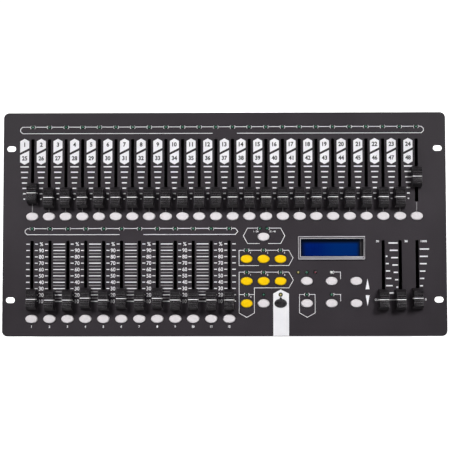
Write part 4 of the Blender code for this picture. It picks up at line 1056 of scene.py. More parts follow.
def make_display_module():
    """Board, folded holder, glass and mask of the display."""
    x, y = DISPLAY_X, DISPLAY_Y
    board_top, top = MODULE_LOW.z + BOARD_THICKNESS, MODULE_HIGH.z
    board = prism(rounded_rectangle(x, y, MODULE_HIGH.x - MODULE_LOW.x,
                                    MODULE_HIGH.y - MODULE_LOW.y, MODULE_CORNER, 4),
                  MODULE_LOW.z, board_top)
    # half width, half depth, corner and height of each ring round the holder
    section = ((HOLDER_X, HOLDER_Y, HOLDER_CORNER, board_top),
               (HOLDER_X, HOLDER_Y, HOLDER_CORNER, top - HOLDER_CHAMFER),
               (HOLDER_X - HOLDER_CHAMFER, HOLDER_Y - HOLDER_CHAMFER, HOLDER_TOP_CORNER, top),
               (GLASS_X, GLASS_Y, GLASS_CORNER, top), (GLASS_X, GLASS_Y, GLASS_CORNER, board_top))
    holder = loft([[(px, py, z) for px, py in rounded_rectangle(x, y, 2 * half_x, 2 * half_y, r, 3)]
                   for half_x, half_y, r, z in section], closed=True)
    glass = prism(rounded_rectangle(x, y, 2 * (GLASS_X - GLASS_GAP), 2 * (GLASS_Y - GLASS_GAP),
                                    GLASS_CORNER, 3), board_top, top - GLASS_SUNK)
    mask = box((x + WINDOW[1] - MASK_REACH, y - GLASS_Y + MASK_MARGIN_Y, top - MASK_UNDER),
               (x + HOLDER_X - MASK_MARGIN_X, y + GLASS_Y - MASK_MARGIN_Y, top + MASK_OVER))
    return joined([(board, 0), (holder, 1), (glass, 2), (mask, 3)])


def add_bricks(tree, place, width, height, gap, blur, first, second, between, **settings):
    """A pattern of bricks in two colours, and in a third between them."""
    return add_node(tree, "ShaderNodeTexBrick",
                    {"Vector": place, "Scale": 1.0, "Brick Width": width, "Row Height": height,
                     "Mortar Size": gap, "Mortar Smooth": blur, "Color1": first,
                     "Color2": second, "Mortar": between}, **settings)


def display_glass():
    """Deep blue with a weak glow, darker towards the window's edges, with a painted shadow of the
    frame along the rear edge, and with the faint cells of two rows.
    """
    material, tree, shader = new_material("blue_display_glass")
    place = tree.nodes.new("ShaderNodeTexCoord")
    centred = add_node(tree, "ShaderNodeMapping", {"Vector": place.outputs["Object"],
                                                   "Location": (-DISPLAY_X, -DISPLAY_Y, 0)})
    axes = add_node(tree, "ShaderNodeSeparateXYZ", {"Vector": centred.outputs["Vector"]})

    def ramp(axis, start, end):
        return add_node(tree, "ShaderNodeMapRange",
                        {"Value": axes.outputs[axis], "From Min": start * MM,
                         "From Max": end * MM}, interpolation_type="SMOOTHSTEP").outputs["Result"]

    # the blue rises from each side of the window, most slowly from the left; the dark band at the
    # rear edge is a painted shadow of the frame; places are millimetres
    share = ramp("X", -33.5, -26.0)
    for axis, start, end in (("X", 31.4, 26.5), ("Y", 7.6, 3.4), ("Y", -11.0, -6.8)):
        share = add_node(tree, "ShaderNodeMath", {0: share, 1: ramp(axis, start, end)},
                         operation="MULTIPLY").outputs[0]
    cells = add_bricks(tree, centred.outputs["Vector"], 3.55 * MM, 6.2 * MM, 0.3 * MM, 0.4,
                       screen(0, 25, 92), screen(0, 23, 88), screen(0, 22, 86), offset=0.0)
    greener = colour_mix(tree, ramp("X", -20.0, 8.0), cells.outputs["Color"], screen(0, 35, 94))
    blue_darkened_at_edges = colour_mix(tree, share, screen(9, 19, 34), greener)
    tree.links.new(blue_darkened_at_edges, shader.inputs["Base Color"])
    tree.links.new(blue_darkened_at_edges, shader.inputs["Emission Color"])
    shader.inputs["Emission Strength"].default_value = 0.35
    shader.inputs["Roughness"].default_value = 0.3
    shader.inputs["Specular IOR Level"].default_value = 0.03
    return material


def circuit_board():
    """Green solder mask over copper tracks, with tinned through holes."""
    material, tree, shader = new_material("green_circuit_board_mask")
    place = tree.nodes.new("ShaderNodeTexCoord")
    grain = add_node(tree, "ShaderNodeGroup",
                     {"Grain Size": 0.4 * MM, "Mottle Size": 18 * MM, "Mottle Share": 0.6},
                     node_tree=GRAIN)
    tracks = add_bricks(tree, place.outputs["Object"], 9.0 * MM, 1.9 * MM, 0.28 * MM, 0.1,
                        screen(8, 70, 40), screen(10, 76, 44), screen(24, 108, 62),
                        offset=0.35, squash=0.6, squash_frequency=3)
    holes = add_node(tree, "ShaderNodeTexVoronoi",
                     {"Vector": place.outputs["Object"], "Scale": 1 / (5.0 * MM)})
    tinned = add_node(tree, "ShaderNodeMath", {0: holes.outputs["Distance"], 1: 0.12},
                      operation="LESS_THAN")
    colour = colour_mix(tree, tinned.outputs[0], tracks.outputs["Color"], screen(196, 192, 180))
    gloss = add_node(tree, "ShaderNodeMapRange",
                     {"Value": grain.outputs["Shade"], "To Min": 0.25, "To Max": 0.4})
    tree.links.new(colour, shader.inputs["Base Color"])
    tree.links.new(tinned.outputs[0], shader.inputs["Metallic"])
    tree.links.new(gloss.outputs["Result"], shader.inputs["Roughness"])
    return material


CIRCUIT_BOARD = circuit_board()
HOLDER = finished("black_holder", screen(16, 16, 17), screen(28, 28, 30), (0.4, 0.5), 0.3 * MM,
                  8 * MM, relief=0.08)
MASK = finished("grey_display_mask", screen(50, 48, 52), screen(64, 62, 66), (0.5, 0.6), 0.3 * MM,
                8 * MM, Specular_IOR_Level=0.2)
module = piece("display_module_parts", smooth(make_display_module()), "console", "display_glass",
               CIRCUIT_BOARD, HOLDER, display_glass(), MASK)
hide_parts("display_module")


# Fader boards: two circuit boards on the panel's studs. Soldered to them are the slide
# potentiometers in folded metal housings, the push switches under the keys and the lamps that
# reach up into the panel.
POT_WIDTH = 9.0 * MM
POT_HEIGHT = 7.0 * MM
POT_LENGTH = 75.0 * MM
POT_ROUND = 0.3 * MM
POT_GROOVE_WIDTH = 1.8 * MM
POT_GROOVE_LENGTH = 68.6 * MM
POT_GROOVE_DEPTH = 5.4 * MM
SWITCH_SIZE = 6.0 * MM
SWITCH_CORNER = 0.6 * MM
SWITCH_HEIGHT = 3.6 * MM
BUTTON_RADIUS = 1.75 * MM
BUTTON_CHAMFER = 0.3 * MM
BUTTON_TOP = 7.1 * MM
BUTTON_SUNK = 0.2 * MM
BOARD_CORNER = 1.0 * MM
COLLAR_WIDTH = 0.3 * MM
COLLAR_HEIGHT = 1.0 * MM
LAMP_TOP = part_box("channel_board")[1].z
LAMP_DOME_HEIGHT = 0.6 * LAMP_RADIUS


def make_pot():
    """Housing of a slide potentiometer, open along its groove; z = 0 is the board."""
    housing = block(0, 0, POT_WIDTH, POT_LENGTH, 0, POT_HEIGHT)
    groove = block(0, 0, POT_GROOVE_WIDTH, POT_GROOVE_LENGTH, POT_HEIGHT - POT_GROOVE_DEPTH,
                   POT_HEIGHT + PUNCH_EXCESS)
    return softened(cut(housing, groove), POT_ROUND)


def make_switch():
    """Push switch with its round button; z = 0 is the board."""
    body = rounded_rectangle(0, 0, SWITCH_SIZE, SWITCH_SIZE, SWITCH_CORNER, 2)
    button_foot = SWITCH_HEIGHT - BUTTON_SUNK
    button = turned([(0, button_foot), (BUTTON_RADIUS, button_foot),
                     (BUTTON_RADIUS, BUTTON_TOP - BUTTON_CHAMFER),
                     (BUTTON_RADIUS - BUTTON_CHAMFER, BUTTON_TOP), (0, BUTTON_TOP)], 12)
    return together([prism(body, 0, SWITCH_HEIGHT), button])


def dome(radius, foot, rise, angles):
    """Points up the side of a dome that rises from its foot, as radius and height."""
    turns = [math.radians(a) for a in angles]
    return [(radius * math.cos(a), foot + rise * math.sin(a)) for a in turns]


def make_lamp():
    """Lamp with a domed top and a collar at its foot; z = 0 is the board."""
    top, collar = LAMP_TOP - BOARD_TOP, LAMP_RADIUS + COLLAR_WIDTH
    sides = dome(LAMP_RADIUS, top - LAMP_DOME_HEIGHT, LAMP_DOME_HEIGHT, (0, 25, 50, 70))
    return turned([(0, 0), (collar, 0), (collar, COLLAR_HEIGHT), (LAMP_RADIUS, COLLAR_HEIGHT),
                   *sides, (0, top)], 16)


def lamp_plastic(name, rim, heart):
    """Coloured lamp plastic, paler in the middle of each lamp as a painted highlight of the
    reflector cup round the die.
    """
    material, tree, shader = new_material(name)
    place = tree.nodes.new("ShaderNodeUVMap")
    place.uv_map = "from_axis"
    far = add_node(tree, "ShaderNodeVectorMath", {0: place.outputs["UV"]}, operation="LENGTH")
    near = add_node(tree, "ShaderNodeMapRange",
                    {"Value": far.outputs["Value"], "From Min": 0.25, "From Max": 0.8,
                     "To Min": 1.0, "To Max": 0.0}, interpolation_type="SMOOTHSTEP")
    colour = colour_mix(tree, near.outputs["Result"], rim, heart)
    tree.links.new(colour, shader.inputs["Base Color"])
    shader.inputs["Roughness"].default_value = 0.25
    shader.inputs["Coat Weight"].default_value = 0.4
    return material


def with_axis_map(mesh, places):
    """Give the lamps' mesh a UV map that tells how far a point is from its lamp's axis."""
    layer = mesh.uv_layers.new(name="from_axis")
    for loop in mesh.loops:
        point = mesh.vertices[loop.vertex_index].co
        near = min(places, key=lambda p: (p[0] - point.x) ** 2 + (p[1] - point.y) ** 2)
        layer.data[loop.index].uv = ((point.x - near[0]) / LAMP_RADIUS,
                                     (point.y - near[1]) / LAMP_RADIUS)
    return mesh


# The pot housings' black is darkened further, a painted shade deep in the panel's slots.
POT_METAL = finished("pot_housing_black", screen(8, 7, 8), screen(16, 15, 16), (0.5, 0.65),
                     0.3 * MM, 10 * MM, relief=0.1, Specular_IOR_Level=0.1)
SWITCH_BLACK = finished("switch_black", screen(22, 22, 24), screen(36, 36, 38), (0.4, 0.5),
                        0.3 * MM, 6 * MM, relief=0.08)
PLAYBACK_KEYS = [key for name, keys in MATS.items() if name != "channel_keypad" for key in keys]
BOARDS = {
    "channel_board": ([slot for slot in SLOTS if slot[1] > 0], MATS["channel_keypad"]),
    "playback_board": ([slot for slot in SLOTS if slot[1] < 0], PLAYBACK_KEYS),
}
for board_name, (pots, keys) in BOARDS.items():
    low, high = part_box(board_name)
    x, y, _ = middle(board_name)
    outline = rounded_rectangle(x, y, high.x - low.x, high.y - low.y, BOARD_CORNER, 3)
    parts = [
        (prism(outline, low.z, BOARD_TOP), 0),
        (copies_of(make_pot(), [(x, y, BOARD_TOP) for x, y in pots], POT_METAL), 1),
        (copies_of(make_switch(), [(x, y, BOARD_TOP) for x, y in keys], SWITCH_BLACK), 2),
    ]
    board = piece(f"{board_name}_parts", smooth(joined(parts)), "console", "circuit_board",
                  CIRCUIT_BOARD, POT_METAL, SWITCH_BLACK)
    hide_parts(board_name)

for lamp_name, places, rim, heart in (
        ("green_lamps", GREEN_LAMPS, screen(7, 38, 31), screen(70, 126, 102)),
        ("amber_lamps", AMBER_LAMPS, screen(70, 65, 34), screen(186, 178, 116)),
        ("red_lamps", RED_LAMPS, screen(42, 12, 20), screen(116, 46, 60)),
        ("clear_lamps", CLEAR_LAMPS, screen(196, 198, 196), screen(250, 251, 250))):
    plastic = lamp_plastic(f"{lamp_name}_plastic", rim, heart)
    lamps = copies_of(make_lamp(), [(x, y, BOARD_TOP) for x, y in places], plastic)
    piece(lamp_name, smooth(with_axis_map(lamps, places)), "console", "switch_plastic", plastic)


# Fader caps: black moulded plastic, saddle-shaped for a fingertip, ridged on both slopes and
# with a white line across the middle; each is pressed on its potentiometer's metal lever.
CAP_LOW = PANEL_TOP + 1.0 * MM
CAP_FOOT_HALF_WIDTH = 5.85 * MM
CAP_TAPER = 0.8 * MM
CAP_TAPER_HEIGHT = 9.0 * MM
CAP_ROUND = 0.45 * MM
# how near the middle of the rounding comes to its corner, as a share of the rounding
CAP_ROUND_MIDDLE = 0.3
CAP_WELD = 0.0005 * MM
CAP_LINE_HALF = 0.425 * MM
LEVER_WIDTH = 1.2 * MM
LEVER_LENGTH = 8.0 * MM
LEVER_TOP = 2.0 * MM
LEVER_ROUND = 0.15 * MM
# half of the cap's side view: millimetres from the middle and over the cap's foot
CAP_PROFILE = (
    (0.0, 7.85), (0.42, 7.85), (0.43, 7.7), (1.9, 7.9), (2.1, 8.3), (2.5, 8.35), (2.65, 8.15),
    (4.15, 8.8), (4.35, 9.3), (4.8, 9.37), (4.95, 9.15), (6.3, 10.0), (6.5, 10.55), (7.2, 11.1),
    (7.8, 11.2), (8.2, 10.6), (11.1, 2.6), (11.3, 2.2), (11.3, 0.0),
)


def make_cap():
    """Cap and lever with the lever's axis at the origin; z = 0 is the cap's foot."""
    half = [(y * MM, z * MM) for y, z in CAP_PROFILE]
    stations = [(-y, z) for y, z in reversed(half)] + half[1:]
    bm = bmesh.new()
    rings = []
    for y, z in stations:
        drop = min(CAP_ROUND, z)
        w = CAP_FOOT_HALF_WIDTH - CAP_TAPER * min(z / CAP_TAPER_HEIGHT, 1.0)
        bulge = drop * CAP_ROUND_MIDDLE
        crown = [(-w, drop), (-w + bulge, bulge), (-w + drop, 0.0)]
        ring = [(-CAP_FOOT_HALF_WIDTH, y, 0.0)] + [(x, y, z - d) for x, d in crown]
        ring += [(-x, y, z - d) for x, d in reversed(crown)] + [(CAP_FOOT_HALF_WIDTH, y, 0.0)]
        rings.append([bm.verts.new(point) for point in ring])
    for k, (low, high) in enumerate(zip(rings, rings[1:])):
        white = max(abs(stations[k][0]), abs(stations[k + 1][0])) < CAP_LINE_HALF
        for i in range(len(low) - 1):
            face = bm.faces.new((low[i], high[i], high[i + 1], low[i + 1]))
            face.material_index = 1 if white else 0
    foot = [ring[0] for ring in rings] + [ring[-1] for ring in reversed(rings)]
    bm.faces.new(foot[::-1])
    bmesh.ops.remove_doubles(bm, verts=bm.verts, dist=CAP_WELD)
    bmesh.ops.recalc_face_normals(bm, faces=bm.faces)
    cap = smooth(mesh_from(bm), 28.0)
    lever = block(0, 0, LEVER_WIDTH, LEVER_LENGTH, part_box(CHANNELS[0])[0].z - CAP_LOW, LEVER_TOP)
    return joined([(cap, None), (softened(lever, LEVER_ROUND), 2)])


# The ridges' edges are painted lighter: a painted highlight on the black plastic.
CAP_PLASTIC = finished(
    "black_cap_plastic", screen(25, 22, 25), screen(36, 34, 36), (0.38, 0.5), 0.25 * MM,
    4 * MM, relief=0.1, edge=screen(146, 142, 146), reach=0.27 * MM, wear_and_highlight=0.75,
    Specular_IOR_Level=0.15)
CAP_LINE = finished("white_cap_line", screen(240, 238, 240), screen(252, 251, 252), (0.4, 0.5),
                    0.3 * MM, 3 * MM, relief=0.06)
LEVER_METAL = finished("lever_steel", screen(150, 150, 150), screen(180, 180, 178), (0.3, 0.4),
                       0.2 * MM, 4 * MM, relief=0.08, Metallic=1.0)
CAP = make_cap()
for fader in CHANNELS + PLAYBACKS + RIGHT_FADERS:
    spot = middle(fader)
    cap_mesh = CAP.copy()
    cap_mesh.transform(Matrix.Translation((spot.x, spot.y, CAP_LOW)))
    cap = piece(f"{fader}_cap", cap_mesh, fader, "cap_plastic", CAP_PLASTIC, CAP_LINE, LEVER_METAL)
    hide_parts(fader)


# Case tub: a tray folded from 1.2 mm sheet steel and sprayed like the panel, with vents in its
# side walls and holes for the sockets in its rear wall; standoffs are welded to its floor.
TUB_LOW, TUB_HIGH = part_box("case_tub")
TUB_WALL = 1.2 * MM
TUB_BEND = 1.8 * MM
TUB_EDGE_ROUND = 0.12 * MM
VENTS = 11
VENT_PITCH = 9.0 * MM
VENT_WIDTH = 3.2 * MM
VENT_HEIGHT = 26.0 * MM
FIRST_VENT_Y = -95.0 * MM
VENT_Z = 36.0 * MM
# length of the bars that punch the vents of both side walls at once
VENT_PUNCH = 500.0 * MM
# how far the tools that punch the rear wall reach, from the wall's outer face
WALL_PUNCH = (-2.0 * MM, PUNCH_EXCESS)
SOCKET_HOLE_GAP = 0.5 * MM
SWITCH_MIDDLE = middle("power_switch_body")
SWITCH_HOLE_X = 6.7 * MM
SWITCH_HOLE_Z = 9.7 * MM
MAIN_LOW, MAIN_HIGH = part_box("main_board")
MAIN_TOP = MAIN_LOW.z + BOARD_THICKNESS
MAIN_REAR = TUB_HIGH.y - 2.2 * MM
STANDOFF_INSET = 5.0 * MM
STANDOFFS = [(x, y) for x in (MAIN_LOW.x + STANDOFF_INSET, MAIN_HIGH.x - STANDOFF_INSET)
             for y in (MAIN_LOW.y + STANDOFF_INSET, MAIN_REAR - STANDOFF_INSET)]
# profile of a standoff in millimetres, from its foot in the floor to its top
STANDOFF_PROFILE = ((0, -0.2), (3.3, -0.2), (3.0, 0.3), (3.0, 5.7), (2.7, 6.0), (0, 6.0))


def pins_on(radius, angles, hole):
    """Pin holes on a circle: the place and the radius of each, in millimetres."""
    turns = [math.radians(a) for a in angles]
    return [(radius * math.cos(a), -radius * math.sin(a), hole) for a in turns]


# sockets in millimetres: places along the rear wall, height of the axis over the board, radius,
# how far the face stands out, thickness of the shell, how deep the insert lies, block behind
# the wall, pin holes, and width and depth of the keyway
SOCKETS = {
    "power": dict(xs=(-162.0,), height=6.5, radius=3.9, proud=0.4, shell=1.0, sunk=7.0,
                  block=(9.0, 14.0, 11.0), pins=[(0, 0, 2.7)], keyway=None),
    "audio": dict(xs=(-132.0, -116.0), height=8.0, radius=4.2, proud=7.0, shell=0.7, sunk=1.2,
                  block=(10.0, 12.0, 13.0), pins=[(0, 0, 1.6)], keyway=None),
    "link": dict(xs=(-86.0, -61.0, -36.0), height=10.5, radius=8.6, proud=0.4, shell=0.8,
                 sunk=1.4, block=(21.0, 13.0, 20.0), pins=pins_on(5.0, range(0, 181, 45), 1.0),
                 keyway=(2.2, 1.6)),
    "signal": dict(xs=(2.0, 36.0), height=14.0, radius=11.6, proud=1.4, shell=1.1, sunk=2.2,
                   block=(26.0, 22.0, 27.0), pins=pins_on(5.4, (90, 210, 330), 1.7),
                   keyway=(3.2, 3.2)),
}
# turns a shape that was built along Z to look out to the rear, with its own Y upwards
REARWARD = Matrix(((-1, 0, 0), (0, 0, 1), (0, 1, 0))).to_4x4()


def on_rear_wall(x, z):
    """The matrix that stands a shape built along Z on the rear wall."""
    return Matrix.Translation((x, TUB_HIGH.y, z)) @ REARWARD


def make_tray():
    """The folded tray before it is punched."""
    bm = bmesh.new()
    bm.from_mesh(box(TUB_LOW, TUB_HIGH))
    top = max(bm.faces, key=lambda face: face.calc_center_median().z)
    bmesh.ops.delete(bm, geom=[top], context="FACES_ONLY")
    bends = [edge for edge in bm.edges if not edge.is_boundary]
    bmesh.ops.bevel(bm, geom=bends, offset=TUB_BEND, segments=4, profile=0.5, affect="EDGES")
    bmesh.ops.recalc_face_normals(bm, faces=bm.faces)
    holder = temporary(mesh_from(bm))
    walls = holder.modifiers.new("walls", "SOLIDIFY")
    walls.thickness = TUB_WALL
    walls.offset = -1.0
    walls.use_even_offset = True
    return taken(holder)


def make_tub():
    """The folded tray with its vents, its holes and its standoffs."""
    vent = prism(rounded_rectangle(0, 0, VENT_WIDTH, VENT_HEIGHT, VENT_WIDTH / 2, 6),
                 -VENT_PUNCH / 2, VENT_PUNCH / 2)
    sideways = Matrix(((0, 0, 1), (1, 0, 0), (0, 1, 0))).to_4x4()
    vent.transform(Matrix.Translation((0, FIRST_VENT_Y, VENT_Z)) @ sideways)
    punches = [grown(vent, ROW, Copies=VENTS, Step=(0.0, VENT_PITCH, 0.0), Finish=None)]
    for made in SOCKETS.values():
        radius = made["radius"] * MM + SOCKET_HOLE_GAP
        punches += [bar(0, 0, radius, *WALL_PUNCH, 40,
                        on_rear_wall(x * MM, MAIN_TOP + made["height"] * MM))
                    for x in made["xs"]]
    rear = TUB_HIGH.y
    x, _, z = SWITCH_MIDDLE
    punches.append(box((x - SWITCH_HOLE_X, rear + WALL_PUNCH[0], z - SWITCH_HOLE_Z),
                       (x + SWITCH_HOLE_X, rear + WALL_PUNCH[1], z + SWITCH_HOLE_Z)))
    tray = softened(cut(make_tray(), together(punches)), TUB_EDGE_ROUND)
    profile = [(r * MM, z * MM) for r, z in STANDOFF_PROFILE]
    standoffs = [turned(profile, 6, Matrix.Translation((x, y, TUB_LOW.z + TUB_WALL)))
                 for x, y in STANDOFFS]
    return joined([(tray, 0), (together(standoffs), 0)])


TUB_PAINT = finished(
    "dark_tub_paint", screen(40, 38, 40), screen(50, 48, 50), (0.48, 0.62), 0.45 * MM, 55 * MM,
    share=0.45, relief=0.2, edge=screen(92, 90, 92), reach=0.3 * MM, wear_and_highlight=0.45,
    Specular_IOR_Level=0.3)
tub = piece("folded_tub", smooth(make_tub(), 20.0), "console", "case_paint", TUB_PAINT)
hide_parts("case_tub")


# Main board and its sockets: the processor board on the tub's standoffs, with its chips, a
# finned heat sink and capacitors; along its rear edge stand the sockets that look out through
# the rear wall.
MAIN_CORNER = 1.5 * MM
BLOCK_ROUND = 0.4 * MM
# chips: place on the board, width, depth, height, pins on each side and their pitch
CHIPS = ((66, 8, 25, 25, 3.4, 16, 1.27), (112, 10, 36, 15, 4.6, 14, 2.54),
         (168, 10, 21, 16, 5.4, 8, 2.54))
CHIP_LIFT = 0.4 * MM
CHIP_ROUND = 0.35 * MM
CHIP_SHOULDER = 1.2 * MM
PIN_HALF_WIDTH = 0.25 * MM
PIN_THICKNESS = 0.3 * MM
PIN_LENGTH = 1.3 * MM
PIN_OVERLAP = 0.2 * MM
HEAT_SINK_PLACE = (20, 8)
HEAT_SINK_SIZE = (24 * MM, 14 * MM, 16 * MM)
HEAT_SINK_PLATE = 2.0 * MM
FINS = 8
FIN_THICKNESS = 1.0 * MM
# capacitors: place on the board, radius and height
CAPACITORS = ((50, 40, 5.0, 12.0), (62, 42, 3.2, 9.0), (150, 34, 3.2, 9.0), (200, 14, 3.2, 9.0),
              (232, 30, 5.0, 12.0))


def on_board(x, y):
    """A place on the main board, from millimetres over its front left corner."""
    return MAIN_LOW.x + x * MM, MAIN_LOW.y + y * MM


def make_chip(place_x, place_y, width, depth, height, pins, pitch):
    """Chip body with a row of folded pins along its front and its rear side."""
    x, y = on_board(place_x, place_y)
    width, depth, height, pitch = width * MM, depth * MM, height * MM, pitch * MM
    body = box((x, y + CHIP_SHOULDER, MAIN_TOP + CHIP_LIFT),
               (x + width, y + depth - CHIP_SHOULDER, MAIN_TOP + height))
    first = x + (width - (pins - 1) * pitch) / 2
    left, right = first - PIN_HALF_WIDTH, first + PIN_HALF_WIDTH
    bend, foot = MAIN_TOP + height / 2, MAIN_TOP - PIN_OVERLAP
    legs = []
    for edge, inward in ((y, 1), (y + depth, -1)):
        for reach, low, high in ((PIN_LENGTH, bend, bend + PIN_THICKNESS),
                                 (PIN_THICKNESS, foot, bend + PIN_OVERLAP)):
            front, rear = sorted((edge, edge + inward * reach))
            legs.append(box((left, front, low), (right, rear, high)))
    row = grown(together(legs), ROW, Copies=pins, Step=(pitch, 0.0, 0.0), Finish=None)
    return [(softened(body, CHIP_ROUND), 1), (row, 2)]


def make_heat_sink():
    """Plate of the regulator's heat sink with its row of fins."""
    x, y = on_board(*HEAT_SINK_PLACE)
    width, depth, height = HEAT_SINK_SIZE
    plate = box((x, y, MAIN_TOP), (x + width, y + HEAT_SINK_PLATE, MAIN_TOP + height))
    fin = box((x, y + HEAT_SINK_PLATE, MAIN_TOP), (x + FIN_THICKNESS, y + depth, MAIN_TOP + height))
    step = (width - FIN_THICKNESS) / (FINS - 1)
    fins = grown(fin, ROW, Copies=FINS, Step=(step, 0.0, 0.0), Finish=None)
    return [(plate, 3), (fins, 3)]


def make_capacitor(place_x, place_y, radius, height):
    """Capacitor in its sleeve, with a waist near the foot."""
    profile = ((0, 0), (radius, 0), (radius, 1.2), (radius - 0.3, 1.6), (radius, 2.0),
               (radius, height - 0.4), (radius - 0.5, height), (0, height))
    return turned([(r * MM, z * MM) for r, z in profile], 20,
                  Matrix.Translation((*on_board(place_x, place_y), MAIN_TOP)))


def make_main_board():
    """Board, chips, heat sink, capacitors and the sockets' blocks behind the wall."""
    width, depth = MAIN_HIGH.x - MAIN_LOW.x, MAIN_REAR - MAIN_LOW.y
    outline = rounded_rectangle(MAIN_LOW.x + width / 2, MAIN_LOW.y + depth / 2, width, depth,
                                MAIN_CORNER, 3)
    parts = [(prism(outline, MAIN_LOW.z, MAIN_TOP), 0)]
    for chip in CHIPS:
        parts += make_chip(*chip)
    parts += make_heat_sink()
    parts += [(make_capacitor(*capacitor), 4) for capacitor in CAPACITORS]
    for made in SOCKETS.values():
        width, depth, height = [size * MM for size in made["block"]]
        blocks = together([block(x * MM, MAIN_REAR - depth / 2, width, depth, MAIN_TOP,
                                 MAIN_TOP + height) for x in made["xs"]])
        parts.append((softened(blocks, BLOCK_ROUND), 1))
    return joined(parts)


CHIP_BLACK = finished("chip_resin", screen(24, 24, 26), screen(38, 38, 40), (0.45, 0.55),
                      0.15 * MM, 5 * MM, relief=0.12)
CAPACITOR = finished("capacitor_sleeve", screen(20, 26, 52), screen(30, 38, 70), (0.25, 0.35),
                     0.3 * MM, 6 * MM)
HEAT_SINK = finished("black_anodised", screen(28, 28, 30), screen(44, 44, 46), (0.35, 0.5),
                     0.2 * MM, 6 * MM, relief=0.1, Metallic=0.6)
main_board = piece("main_board_parts", smooth(make_main_board(), 30.0), "console",
                   "circuit_board", CIRCUIT_BOARD, CHIP_BLACK, ZINC, HEAT_SINK, CAPACITOR)
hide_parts("main_board")

SOCKET_STEPS = 40
RIM_ROUND = 0.2 * MM
RIM_INNER_ROUND = 0.15 * MM
# depths and heights over the wall's outer face
SHELL_FOOT = -2.0 * MM
INSERT_FOOT = -9.0 * MM
PIN_HOLE_FOOT = -8.0 * MM
KEYWAY_FOOT = -3.0 * MM
CONTACT_TOP = -2.4 * MM
INSERT_GAP = 0.02 * MM
CONTACT_GAP = 0.35 * MM
POWER_PIN_RADIUS = 1.0 * MM
POWER_PIN_RISE = 3.0 * MM


def make_shell(inner, radius, proud):
    """Round shell of a socket with both edges of its rim softened."""
    section = ((radius, SHELL_FOOT), (radius, proud - RIM_ROUND), (radius - RIM_ROUND, proud),
               (inner + RIM_INNER_ROUND, proud), (inner, proud - RIM_INNER_ROUND),
               (inner, SHELL_FOOT))
    return loft([circle(r, z, SOCKET_STEPS) for r, z in section], closed=True)


def make_socket(kind):
    """Shell, insert with its pin holes, and contacts of one socket; z = 0 is the wall."""
    made = SOCKETS[kind]
    radius, proud = made["radius"] * MM, made["proud"] * MM
    inner, face = radius - made["shell"] * MM, proud - made["sunk"] * MM
    pins = [(x * MM, y * MM, hole * MM) for x, y, hole in made["pins"]]
    insert = bar(0, 0, inner - INSERT_GAP, INSERT_FOOT, face, SOCKET_STEPS)
    holes = [bar(x, y, hole, PIN_HOLE_FOOT, face + PUNCH_EXCESS, 16) for x, y, hole in pins]
    if made["keyway"]:
        width, depth = [size * MM for size in made["keyway"]]
        holes.append(box((-width / 2, inner - depth, KEYWAY_FOOT),
                         (width / 2, inner + PUNCH_EXCESS, face + PUNCH_EXCESS)))
    if kind == "power":
        contacts = [bar(0, 0, POWER_PIN_RADIUS, PIN_HOLE_FOOT, face + POWER_PIN_RISE, 16)]
    else:
        contacts = [bar(x, y, hole - CONTACT_GAP, PIN_HOLE_FOOT, CONTACT_TOP, 12)
                    for x, y, hole in pins]
    return joined([(make_shell(inner, radius, proud), 0), (cut(insert, together(holes)), 1),
                   (together(contacts), 2)])


def make_sockets(kind):
    """Every socket of one kind, standing in the rear wall."""
    one = make_socket(kind)
    sockets = []
    for x in SOCKETS[kind]["xs"]:
        socket = one.copy()
        socket.transform(on_rear_wall(x * MM, MAIN_TOP + SOCKETS[kind]["height"] * MM))
        sockets.append(socket)
    return together(sockets)


BRASS = finished("contact_brass", screen(176, 150, 84), screen(206, 180, 110), (0.28, 0.4),
                 0.2 * MM, 3 * MM, Metallic=1.0)
NICKEL = finished("nickel_shell", screen(150, 150, 146), screen(186, 186, 180), (0.22, 0.34),
                  0.2 * MM, 4 * MM, relief=0.05, Metallic=1.0)
SOCKET_BLACK = finished("socket_insert", screen(20, 20, 22), screen(34, 34, 36), (0.38, 0.5),
                        0.25 * MM, 4 * MM, relief=0.08)
SOCKET_WHITE = finished("socket_insert_white", screen(206, 204, 198), screen(226, 224, 218),
                        (0.35, 0.45), 0.25 * MM, 4 * MM)
for kind, shell, insert in (("power", SOCKET_BLACK, SOCKET_BLACK), ("audio", NICKEL, SOCKET_WHITE),
                            ("link", NICKEL, SOCKET_BLACK), ("signal", NICKEL, SOCKET_BLACK)):
    piece(f"{kind}_sockets", smooth(make_sockets(kind), 30.0), "console", "switch_plastic",
          shell, insert, BRASS)


# Power switch: a snap-in rocker switch in the rear wall. Its black moulded body has a flange,
# and its rocker a dished face, marked with a plain bar and a plain ring.
# Rings of the body in millimetres: width, height, corner radius and place out of the wall.
BODY_RINGS = ((12.8, 18.8, 0.5, -15.0), (12.8, 18.8, 0.5, 0.3), (15.0, 21.0, 1.4, 0.3),
              (15.0, 21.0, 1.4, 1.4), (14.2, 20.2, 1.1, 2.0), (11.0, 17.0, 0.4, 2.0),
              (10.6, 16.6, 0.3, 1.7), (10.6, 16.6, 0.3, -6.5))
ROCKER_THROW = math.radians(20.0)
ROCKER_SUNK = 0.4 * MM
ROCKER_REACH = 7.4 * MM
ROCKER_CROWN = 4.2 * MM
ROCKER_KEEL = 3.2 * MM
ROCKER_KEEL_HALF = 3.7 * MM
ROCKER_HALF_WIDTH = 5.0 * MM
ROCKER_SAG = 0.35 * MM
ROCKER_STEPS = 8
ROCKER_ROUND = 0.3 * MM
MARK_PLACE = 3.7 * MM
MARK_SUNK = 0.33 * MM
MARK_THICKNESS = 0.1 * MM
BAR_MARK_WIDTH = 0.7 * MM
BAR_MARK_HALF = 1.5 * MM
# section of the ring mark in millimetres: radius and height
RING_MARK = ((1.5, -0.05), (1.5, 0.05), (1.0, 0.05), (1.0, -0.05))


def make_switch_body():
    """Flange with a rounded rim and the body behind it, open for the rocker."""
    place = on_rear_wall(SWITCH_MIDDLE.x, SWITCH_MIDDLE.z)
    return loft([[place @ Vector((x, y, out * MM))
                  for x, y in rounded_rectangle(0, 0, w * MM, h * MM, r * MM, 3)]
                 for w, h, r, out in BODY_RINGS])


